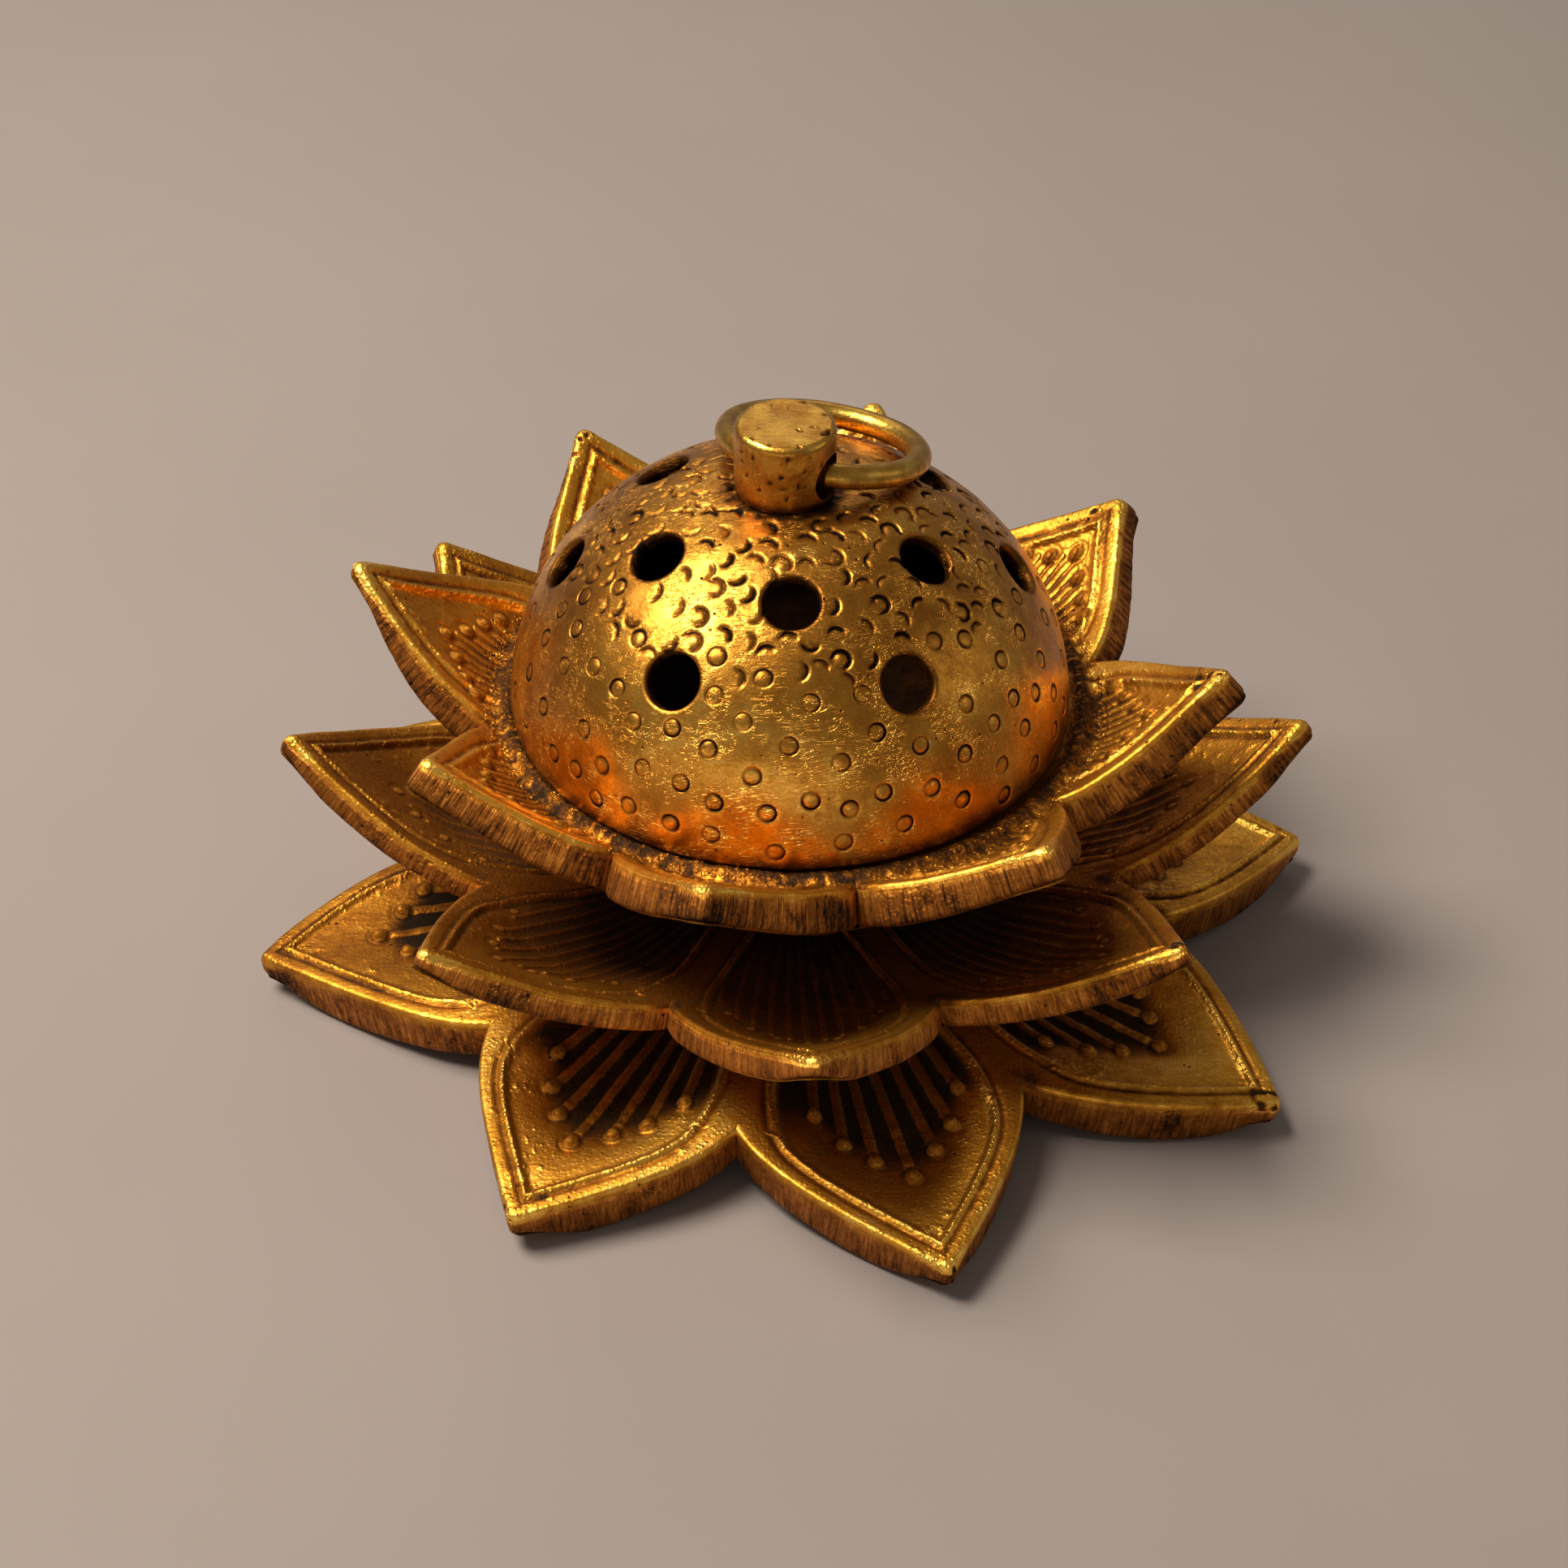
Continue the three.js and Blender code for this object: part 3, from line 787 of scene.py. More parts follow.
class Dome:
    """The lid's round shell: half an ellipsoid with a flat crown. Its places are measured from its axis."""

    WALL = 1.2
    RISE = 22.8
    SOFT = 0.35  # the crown's edge is hammered soft

    def __init__(self):
        low, high, self.centre = box_mm("dome_lid")
        self.radius = (high.x - low.x) / 2
        self.base = low.z
        self.equator = self.base + 0.6
        self.base_radius = self.radius - 0.6
        self.outside = (self.radius, self.RISE, high.z)
        self.inside = tuple(size - self.WALL for size in self.outside)

    def height(self, radius, shell):
        wide, tall, crown = shell
        round_height = self.equator + tall * np.sqrt(np.clip(1 - (radius / wide) ** 2, 0, 1))
        return -self.SOFT * np.log(np.exp(-round_height / self.SOFT) + np.exp(-crown / self.SOFT))

    def spot(self, place):
        """The point of the outside at a place."""
        return Vector((place.real, place.imag, float(self.height(abs(place), self.outside))))

    def normal(self, place):
        wide, tall, _ = self.outside
        up = math.sqrt(max(1 - (abs(place) / wide) ** 2, 1e-6)) / tall
        return Vector((place.real / wide**2, place.imag / wide**2, up)).normalized()

    def rings(self, place, radii, steps, shell, sides=None, start=0.0, sweep=FULL):
        """Rings of places round a place, square to the shell there. sides are two directions along it."""
        wide, tall, _ = shell
        normal = self.normal(place)
        if sides is None:
            side = normal.orthogonal().normalized()
            sides = (side, normal.cross(side))
        centre = np.array(self.spot(place))
        turns = start + sweep * np.arange(steps) / steps
        scale = np.array((1 / wide, 1 / wide, 1 / tall))
        ray = np.array(normal) * scale
        found = []
        spokes = np.outer(np.cos(turns), sides[0]) + np.outer(np.sin(turns), sides[1])
        for radius in radii:
            spots = centre + radius * spokes
            origin = (spots - (0, 0, self.equator)) * scale
            a, b, c = ray @ ray, 2 * origin @ ray, (origin**2).sum(1) - 1
            step = (-b + np.sqrt(np.maximum(b * b - 4 * a * c, 0))) / (2 * a)
            landed = spots + np.outer(step, normal)
            found.append(landed[:, 0] + 1j * landed[:, 1])
        return found

    def chart(self, shell):
        """Functions from a place on the shell to a flat chart of it and back, and the chart's radius. Radii
        on the chart are lengths of a run down the shell."""
        radii = np.linspace(0, shell[0], 3000)
        run = run_along(radii, self.height(radii, shell))

        def to_chart(places):
            return np.exp(1j * np.angle(places)) * np.interp(abs(places), radii, run)

        def from_chart(places):
            return np.exp(1j * np.angle(places)) * np.interp(abs(places), run, radii)

        return to_chart, from_chart, run[-1]


def punch_marks(dome, vents):
    """The punch marks, close crescents above and open circles below. Each has its point, its kind, two
    directions along the shell and its turn."""
    dice = random.Random(8)
    marks, taken = [], np.full((1, 3), 1e3)
    vent_spots = [dome.spot(vent) for vent in vents]
    edge = dome.radius * math.pi / 2
    for _ in range(PUNCH_TRIES):
        polar = edge * math.sqrt(dice.random())
        turn = dice.random() * FULL
        flat = dome.radius * math.sin(polar / dome.radius)
        above = flat < CRESCENT_ZONE + dice.uniform(-2.2, 1.4)
        room = dice.uniform(1.7, 2.0) if above else dice.uniform(2.9, 4.4)
        place = complex(flat * math.cos(turn), flat * math.sin(turn))
        here = dome.spot(place)
        lean = 0.9 + 0.6 * math.sin(turn + 0.5) + dice.gauss(0, 0.95)
        if here.z < dome.equator + PLAIN_FOOT or flat < PLAIN_CROWN:
            continue
        clear = VENT_RADIUS + (0.75 if above else 1.2)
        if any((here - vent).length < clear for vent in vent_spots):
            continue
        if np.linalg.norm(taken - np.array(here), axis=1).min() < room:
            continue
        taken = np.vstack([taken, np.array(here)])
        normal = dome.normal(place)
        side = Vector((0, 0, 1)).cross(normal).normalized()
        marks.append((here, CRESCENT if above else CIRCLE, (side, normal.cross(side)), lean))
    return marks


def mark_depth(points, marks):
    """How deep the punch marks cut at some points, and how dark they are painted: dirt with painted shade
    in each cut, and a painted highlight on its lip.
    """
    depth, dirt = np.zeros(len(points)), np.zeros(len(points))
    for i, (here, mark, sides, lean) in enumerate(marks):
        offset = points - np.array(here)
        near = np.linalg.norm(offset, axis=1) < 1.6
        a, b = (offset[near] @ np.array(side) for side in sides)
        gap = np.hypot(a, b) - mark.radius
        turn = abs(turn_between(lean, np.arctan2(b, a)))
        half = mark.half_width
        if mark is CRESCENT:
            open_turn = 1.75 + (1.3 if i % 7 == 0 else 0)  # now and then a blow leaves a near ring
            window = smoothstep(open_turn, open_turn - 1.15, turn)
            half = half * (0.5 + 0.5 * window)
        else:
            window = 0.45 + 0.55 * smoothstep(2.6, 1.2, turn)
        strength = 0.75 + 0.5 * math.sin(i * 1.9) ** 2  # no two blows are alike
        cut = np.interp(gap / half, *PUNCH_PROFILE) * window * strength
        lip = hump(gap - 1.5 * mark.half_width, mark.half_width * 0.9) * window
        cup = smoothstep(mark.radius, 0.2, np.hypot(a, b)) * mark.cup
        depth[near] = np.maximum(depth[near], mark.depth * cut) - 0.03 * lip + cup
        # Dirt with painted shade, darkest along the cut's line; the lip is painted lighter, a painted
        # highlight.
        dirt[near] = np.maximum(dirt[near], mark.dirt * cut**1.6) - 0.06 * lip
    return depth, dirt


def sheet(loops, scattered):
    """A triangle mesh of a flat chart, with each loop's points kept in order. Every loop but the first is
    a hole. Returns places, faces and the numbers of each loop's points."""
    places, edges, numbers = [], [], []
    for loop in loops:
        own = list(range(len(places), len(places) + len(loop)))
        places += list(loop)
        numbers.append(own)
        edges += list(zip(own, own[1:] + own[:1]))
    places += list(scattered)
    flat = [Vector((p.real, p.imag)) for p in places]
    points, _, faces, origins, _, _ = delaunay_2d_cdt(flat, edges, [], 1, 1e-5)
    where = {source: i for i, sources in enumerate(origins) for source in sources}
    numbers = [[where[n] for n in own] for own in numbers]
    holes = [set(own) for own in numbers[1:]]
    kept = [f for f in faces if not any(hole.issuperset(f) for hole in holes)]
    return np.array([complex(p.x, p.y) for p in points]), kept, numbers


def even_places(from_chart, run, spacing, vents, vent_room, bore):
    """Places at an even spacing over a shell, clear of its holes."""
    rings = []
    for j in range(1, int(run / spacing)):
        radius = abs(from_chart(np.array([j * spacing + 0j]))[0])
        around = max(6, int(FULL * radius / spacing))
        rings.append(on_circle(j * spacing, FULL * (np.arange(around) + 0.5 * (j % 2)) / around))
    places = from_chart(np.concatenate(rings))
    keep = abs(places - bore) > 2.6
    for vent in vents:
        keep &= abs(places - vent) > VENT_RADIUS + vent_room
    return places[keep]


def fine_places(dome, vents, marks, bore):
    """Closer places on the outside, along the vents' edges, the punch marks and the knob's crust."""
    shell = dome.outside
    fine = []
    for vent in vents:
        fine += dome.rings(vent, VENT_RADIUS + np.array([0.2, 0.32, 0.5]), VENT_STEPS, shell)
    for here, mark, sides, lean in marks:
        steps, start, sweep = (17, lean - 1.9, 3.8) if mark is CRESCENT else (24, 0, FULL)
        radii = mark.radius + mark.half_width * PUNCH_RINGS
        fine += dome.rings(complex(here.x, here.y), radii, steps, shell, sides, start, sweep)
    fine += [bore + on_circle(radius, full_turn(CRUST_STEPS)) for radius in CRUST_RADII]
    fine = np.concatenate(fine)
    clear = np.ones(len(fine), bool)
    for vent in vents:
        clear &= abs(fine - vent) > 1.2
    return fine[clear]


def hole_reach(loop, places):
    """How far inside a loop each place is, less than nothing outside it."""
    middle = loop.mean()
    order = np.argsort(np.angle(loop - middle))
    turns, reach = np.angle(loop - middle)[order], abs(loop - middle)[order]
    return np.interp(np.angle(places - middle), turns, reach, period=FULL) - abs(places - middle)


def worked_outside(dome, points, place, vents, marks, bore):
    """The outside's points, with punch marks, hammering, soft vent edges and crust, and their dirt with
    painted shade in the marks.
    """
    depth, dirt = mark_depth(points, marks)
    for vent in vents:
        far = np.linalg.norm(points - np.array(dome.spot(vent)), axis=1)
        depth += 0.14 * smoothstep(VENT_RADIUS + 0.34, VENT_RADIUS + 0.1, far)
        dirt += 0.35 * smoothstep(VENT_RADIUS + 0.5, VENT_RADIUS + 0.1, far)
    crust = smoothstep(6.0, 4.7, abs(place - bore) + 0.5 * noise(points, 1.1, 64))
    crumbs = noise(points, 0.5, 65)
    depth -= crust * (0.12 + 0.12 * crumbs)
    hammered = 0.03 * noise(points, 4.5, 61) + 0.012 * noise(points, 1.6, 62)
    normals = (points - (0, 0, dome.equator)) / np.array((dome.radius, dome.radius, dome.RISE)) ** 2
    normals /= np.linalg.norm(normals, axis=1)[:, None]
    points = points + normals * (hammered - depth)[:, None]
    low_edge = smoothstep(dome.equator + 2.2, dome.equator, points[:, 2])
    dirt += 0.3 * low_edge * (0.7 + 0.5 * noise(points, 2.5, 63)) + crust * (0.4 + 0.4 * crumbs)
    return points, dirt


def dome_piece(look):
    """The lid's shell: punched outside, plain and sooty inside, with drilled vents and a rolled foot."""
    dome = Dome()
    vents = []
    for radius, first in VENT_RINGS:
        for i in range(VENTS_IN_RING):
            vents.append(complex(on_circle(radius, math.radians(first + 360 / VENTS_IN_RING * i - 90))))
    marks = punch_marks(dome, vents)
    bore = complex(*box_mm("lid_knob")[2]) - complex(*dome.centre)
    points, faces, dirt, soot, loops_of, count = [], [], [], [], [], 0
    for shell in (dome.outside, dome.inside):
        is_outside = shell is dome.outside
        to_chart, from_chart, run = dome.chart(shell)
        loops = [on_circle(run * 0.9995, full_turn(DOME_STEPS))]
        vent_radius = VENT_RADIUS + (0.12 if is_outside else 0)
        loops += [to_chart(dome.rings(vent, [vent_radius], VENT_STEPS, shell)[0]) for vent in vents]
        loops.append(to_chart(bore + on_circle(LID_BORE, full_turn(BORE_STEPS))))
        spacing, vent_room = (0.95, 0.75) if is_outside else (1.7, 0.3)
        places = even_places(from_chart, run, spacing, vents, vent_room, bore)
        if is_outside:
            places = np.concatenate([places, fine_places(dome, vents, marks, bore)])
        chart = to_chart(places)
        keep = abs(chart) < run * 0.992
        for loop in loops[1:]:
            keep &= hole_reach(loop, chart) <= -0.03
        flat, own_faces, numbers = sheet(loops, chart[keep])
        place = from_chart(flat)
        own_points = lifted(place, dome.height(abs(place), shell))
        own_dirt_and_shade, own_soot = np.full(len(place), 0.6), np.full(len(place), 0.0 if is_outside else 1.0)
        if is_outside:
            own_points, own_dirt_and_shade = worked_outside(dome, own_points, place, vents, marks, bore)
        for loop in numbers[1:]:
            own_soot[loop] = 0.0
            if not is_outside:
                own_dirt_and_shade[loop] = 0.3
        points.append(own_points)
        dirt.append(own_dirt_and_shade)
        soot.append(own_soot)
        faces += [[n + count for n in face] for face in own_faces]
        loops_of.append([[n + count for n in own] for own in numbers])
        count += len(place)
    for outer_loop, inner_loop in zip(loops_of[0][1:], loops_of[1][1:]):
        faces += tube_faces([outer_loop, inner_loop])

    # The rolled foot of the dome, from its widest ring in and down to the seat, and up inside.
    rings = [loops_of[0][0]]
    foot_profile = (
        (dome.radius - 0.1, dome.equator - 0.25),
        (dome.base_radius + 0.1, dome.base + 0.12),
        (dome.base_radius - 0.1, dome.base),
        (dome.base_radius - dome.WALL + 0.1, dome.base),
        (dome.base_radius - dome.WALL, dome.base + 0.1),
    )
    for radius, height in foot_profile:
        points.append(lifted(on_circle(radius, full_turn(DOME_STEPS)), height))
        dirt.append(np.full(DOME_STEPS, 0.6))
        soot.append(np.zeros(DOME_STEPS))
        rings.append(list(range(count, count + DOME_STEPS)))
        count += DOME_STEPS
    faces += tube_faces(rings + [loops_of[1][0]])
    points = np.concatenate(points) + (*dome.centre, 0)
    layers = {"dirt": np.concatenate(dirt), "soot": np.concatenate(soot)}
    make_piece("pierced_dome", "dome_lid", "lid", look, points, faces, layers)


# ---- Turned pieces ----


def softened(profile, size, closed=True):
    """A profile of (radius, height) points whose corners are rounded by about size."""
    points = [np.array(p, float) for p in profile]
    rounded = []
    for i, point in enumerate(points):
        if not closed and i in (0, len(points) - 1):
            rounded.append(point)
            continue
        ends = []
        for other in (points[i - 1], points[(i + 1) % len(points)]):
            apart = np.linalg.norm(other - point)
            ends.append(point + (other - point) / apart * min(size, apart * 0.45))
        for t in (0, 0.25, 0.5, 0.75, 1):
            rounded.append((1 - t) ** 2 * ends[0] + 2 * t * (1 - t) * point + t * t * ends[1])
    return np.array(rounded)


def turned(profile, centre=(0, 0), closed=True, steps=96, across_flats=None):
    """Points and faces of a profile turned about a vertical axis. A hexagon may cut it to shape."""
    turns = full_turn(steps)
    radius = np.repeat(profile[:, :1], steps, axis=1)
    if across_flats:
        sixth = math.pi / 3
        from_flat = (turns + sixth / 2) % sixth - sixth / 2
        radius = np.minimum(radius, across_flats / 2 / np.cos(from_flat))
    points = lifted(complex(*centre) + on_circle(radius, turns), profile[:, 1:])
    rings = np.arange(radius.size).reshape(radius.shape)
    if closed:
        rings = np.concatenate([rings, rings[:1]])
    return points.reshape(-1, 3), tube_faces(rings)


def split_long(profile, longest):
    """The same profile with points added, so that no step is longer than a size."""
    line = profile[:, 0] + 1j * profile[:, 1]
    parts = []
    for start, end in zip(line[:-1], line[1:]):
        parts.append(np.linspace(start, end, max(2, int(abs(end - start) / longest) + 1))[:-1])
    joined = np.concatenate([*parts, line[-1:]])
    return np.stack([joined.real, joined.imag], -1)


def ring_hinge():
    """The middle of the knob's eye, the direction of its hole, and the level direction across it."""
    joint = next(j for j in frame["joints"] if j["name"] == "ring_swing")
    axis = np.array(joint["axis"], float)
    return np.array(joint["pos_m"]) / MM, axis, np.array((-axis[1], axis[0], 0))


def knob_piece(look):
    """The bar knob: pitted top, filed chamfer, a cross hole for the ring and a peened tenon."""
    low, high, centre = box_mm("lid_knob")
    radius = (high.x - low.x) / 2
    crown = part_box("dome_lid")[1].z / MM
    tenon, rivet, rivet_top = 2.0, 3.0, low.z + 1.1
    profile = [
        (0, low.z),
        (rivet - 0.8, low.z),
        (rivet, low.z + 0.7),
        (rivet, rivet_top),
        (tenon, rivet_top),
        (tenon, crown + 0.1),
        (radius - 0.15, crown + 0.1),
        (radius, crown + 0.5),
        (radius, high.z - 0.55),
        (radius - 0.5, high.z),
        (0, high.z),
    ]
    profile = split_long(softened(profile, 0.22, closed=False), 0.22)
    points, faces = turned(profile, centre, closed=False, steps=140)
    piece = make_piece("bar_knob", "lid_knob", "lid", look, points, faces, {})

    # The eye: how far along it, and its radius there. Its ends flare.
    eye, axis, side = ring_hinge()
    steps = 64
    spokes = np.outer(np.cos(full_turn(steps)), side) + np.outer(np.sin(full_turn(steps)), (0, 0, 1))
    flares = ((-8, 3.4), (-4.35, 2.12), (-4.0, 2.05), (4.0, 2.05), (4.35, 2.12), (8, 3.4))
    rings = [eye + axis * along + wide * spokes for along, wide in flares]
    numbers = np.arange(len(flares) * steps).reshape(len(flares), steps)
    caps = [numbers[0].tolist(), numbers[-1].tolist()]
    cut_away(piece, np.concatenate(rings), tube_faces(numbers) + caps)

    mesh = piece.data
    spots = mesh_points(mesh)
    away = spots[:, :2] - centre
    far = np.hypot(*away.T)
    top = smoothstep(high.z - 0.3, high.z - 0.05, spots[:, 2])
    shaft = smoothstep(radius - 0.2, radius - 0.02, far) * smoothstep(crown, crown + 0.5, spots[:, 2])
    pits = smoothstep(0.62, 0.85, noise(spots, 0.5, 71) + 0.2 * noise(spots, 2.2, 72))
    dents = noise(spots, 1.7, 73)
    spots[:, 2] -= top * (0.16 * pits + 0.05 * (dents + 1))
    inward = shaft * (0.03 * (noise(spots * (1, 1, 0.2), 0.5, 74) + 1) + 0.03 * (dents + 1) + 0.1 * pits)
    spots[:, :2] -= away / np.maximum(far, 0.1)[:, None] * inward[:, None]
    mesh.vertices.foreach_set("co", (spots * MM).reshape(-1))
    edge = hump(far - (radius - 0.35), 0.45) * smoothstep(high.z - 0.9, high.z - 0.3, spots[:, 2])
    foot = smoothstep(crown + 1.3, crown + 0.3, spots[:, 2] + 0.4 * noise(spots, 0.8, 75))
    set_layer(mesh, "dirt", 0.14 + 0.75 * pits * (top + shaft) + 0.45 * foot + 0.12 * dents)
    set_layer(mesh, "wear", 0.4 * edge + 0.15 * top)
    sharpen(piece, 40)


RING_RADIUS = 8.55
WIRE_RADIUS = 1.15
RING_REACH = 7.78  # from the eye to the ring's middle
RING_DROOP = math.radians(16.2)
CUT_AT = math.radians(17)
CUT_WIDTH = math.radians(8)
END_ROUND = 0.42  # the length over which a cut end rounds off
END_SHARE = 0.62  # the radius left at a cut end
END_STATIONS = np.array([0, 0.00003, 0.00015, 0.0005, 0.0011, 0.002, 0.003])  # shares of the wire


def ring_piece(look):
    """The wire ring, hanging from the knob's cross hole, with its two cut ends beside it."""
    eye, across, side = ring_hinge()
    back = side * math.cos(RING_DROOP) - np.array((0, 0, math.sin(RING_DROOP)))
    square = np.cross(across, back)
    steps = 32
    t = np.unique(np.concatenate([END_STATIONS, np.linspace(0, 1, 260)[1:-1], 1 - END_STATIONS]))
    sweep = FULL - CUT_WIDTH
    turns = CUT_AT + CUT_WIDTH + sweep * t
    from_end = np.minimum(t, 1 - t) * sweep * RING_RADIUS
    round_off = np.sqrt(1 - np.clip(1 - from_end / END_ROUND, 0, 1) ** 2)
    shrink = END_SHARE + (1 - END_SHARE) * round_off
    shrink[[0, -1]] = 0.0
    wobble = noise(np.stack([turns * 3, turns * 0], -1), 1, 81)
    radial = np.outer(np.sin(turns), across) - np.outer(np.cos(turns), back)
    line = eye + RING_REACH * back + radial * (RING_RADIUS + 0.04 * wobble)[:, None]
    wire = WIRE_RADIUS * shrink * (0.985 + 0.015 * wobble)
    spin = full_turn(steps)[:, None]
    spokes = np.cos(spin) * radial[:, None] + np.sin(spin) * square
    points = (line[:, None] + wire[:, None, None] * spokes).reshape(-1, 3)
    near_end = np.repeat(smoothstep(1.4, 0.2, from_end), steps)
    # Painted shade: the wire is darker on its lower side.
    low_side = smoothstep(-0.2, -1.0, (points - np.repeat(line, steps, axis=0)) @ square / WIRE_RADIUS)
    dirt = 0.22 + 0.12 * noise(points, 0.8, 82) + 0.1 * near_end + 0.25 * low_side
    layers = {"dirt": dirt, "wear": np.full(len(points), 0.15)}
    faces = tube_faces(np.arange(len(points)).reshape(-1, steps))
    make_piece("wire_ring", "pull_ring", "ring", look, points, faces, layers)


def plain_piece(name, node, body, look, points, faces, seed):
    """A small turned piece with an even finish."""
    layers = {"dirt": 0.35 + 0.15 * noise(points, 2.4, seed), "wear": np.full(len(points), 0.2)}
    return make_piece(name, node, body, look, points, faces, layers)


def washer_piece(name, node, body, look, chamfer):
    """A flat ring with soft edges, between a node's bore and its outside."""
    low, high, centre = box_mm(node)
    outer = (high.x - low.x) / 2
    inner = np.hypot(*(mesh_points(frame["nodes"][node].data)[:, :2] - centre).T).min()
    profile = [(inner, low.z), (outer, low.z), (outer, high.z), (inner, high.z)]
    points, faces = turned(softened(profile, chamfer), centre)
    plain_piece(name, node, body, look, points, faces, 91)


def nut_piece(look):
    low, high, _ = box_mm("hex_nut")
    corner_radius = (high.x - low.x) / 2
    flats = 2 * corner_radius * math.cos(math.pi / 6)
    bore, chamfer = 2.6, 0.35
    profile = [
        (bore, low.z + chamfer),
        (bore + chamfer, low.z),
        (flats / 2 - 0.05, low.z),
        (corner_radius, low.z + chamfer),
        (corner_radius, high.z - chamfer),
        (flats / 2 - 0.05, high.z),
        (bore + chamfer, high.z),
        (bore, high.z - chamfer),
    ]
    points, faces = turned(softened(profile, 0.08), steps=144, across_flats=flats)
    sharpen(plain_piece("brass_nut", "hex_nut", "base", look, points, faces, 92), 25)


def screw_piece(look):
    """The centre screw: a domed slotted head over a plain shank with a chamfered end."""
    low, high, _ = box_mm("centre_screw")
    head = (high.x - low.x) / 2
    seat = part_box("screw_washer")[1].z / MM
    shank = 2.5
    tall = high.z - seat
    turns = np.linspace(0, math.pi / 2, 9)[:-1]
    arc = [(head * math.cos(a), seat + 0.45 * tall + 0.55 * tall * math.sin(a)) for a in turns]
    profile = [(0, low.z), (shank - 0.4, low.z), (shank, low.z + 0.4), (shank, seat), (head, seat), *arc]
    profile.append((0, high.z))
    points, faces = turned(softened(profile, 0.12, closed=False), closed=False)
    piece = make_piece("slotted_screw", "centre_screw", "base", look, points, faces, {})
    half_slot, slot_deep, long = 0.6, 1.1, 8
    corners = np.array(list(product((-long, long), (-half_slot, half_slot), (0, 3))), float)
    corners[:, 2] += high.z - slot_deep
    box = [(0, 1, 3, 2), (4, 6, 7, 5), (0, 4, 5, 1), (2, 3, 7, 6), (0, 2, 6, 4), (1, 5, 7, 3)]
    cut_away(piece, corners, box)
    spots = mesh_points(piece.data)
    in_slot = smoothstep(0.75, 0.55, abs(spots[:, 1])) * smoothstep(seat, seat + 1, spots[:, 2])
    set_layer(piece.data, "dirt", 0.3 + 0.4 * in_slot + 0.15 * noise(spots, 1.8, 93))
    set_layer(piece.data, "wear", 0.3 * smoothstep(seat + 1, high.z, spots[:, 2]))
    sharpen(piece, 30)


# ---- Materials ----

CAST_STOPS = "f2bb50 0.2 d8962f 0.45 9c601c 0.7 573212 0.92 302010 1 2a1d0f"
WALL_STOPS = "eeaa4c 0.25 c67c32 0.5 8f531d 0.75 4d2b11 1 190f09"
DOME_STOPS = "f4bd55 0.25 cb8930 0.5 935a1d 0.75 4a2c0e 1 140c06"
KNOB_STOPS = "e8b24a 0.3 b47828 0.6 6c4214 1 1a1008"
WIRE_STOPS = "f2cb62 0.3 c39038 0.6 855c1f 1 22160a"


def colour(code):
    """A colour from a six-digit code, as the linear numbers that nodes take."""
    parts = [int(code[i : i + 2], 16) / 255 for i in (0, 2, 4)]
    return (*[p / 12.92 if p <= 0.04045 else ((p + 0.055) / 1.055) ** 2.4 for p in parts], 1)


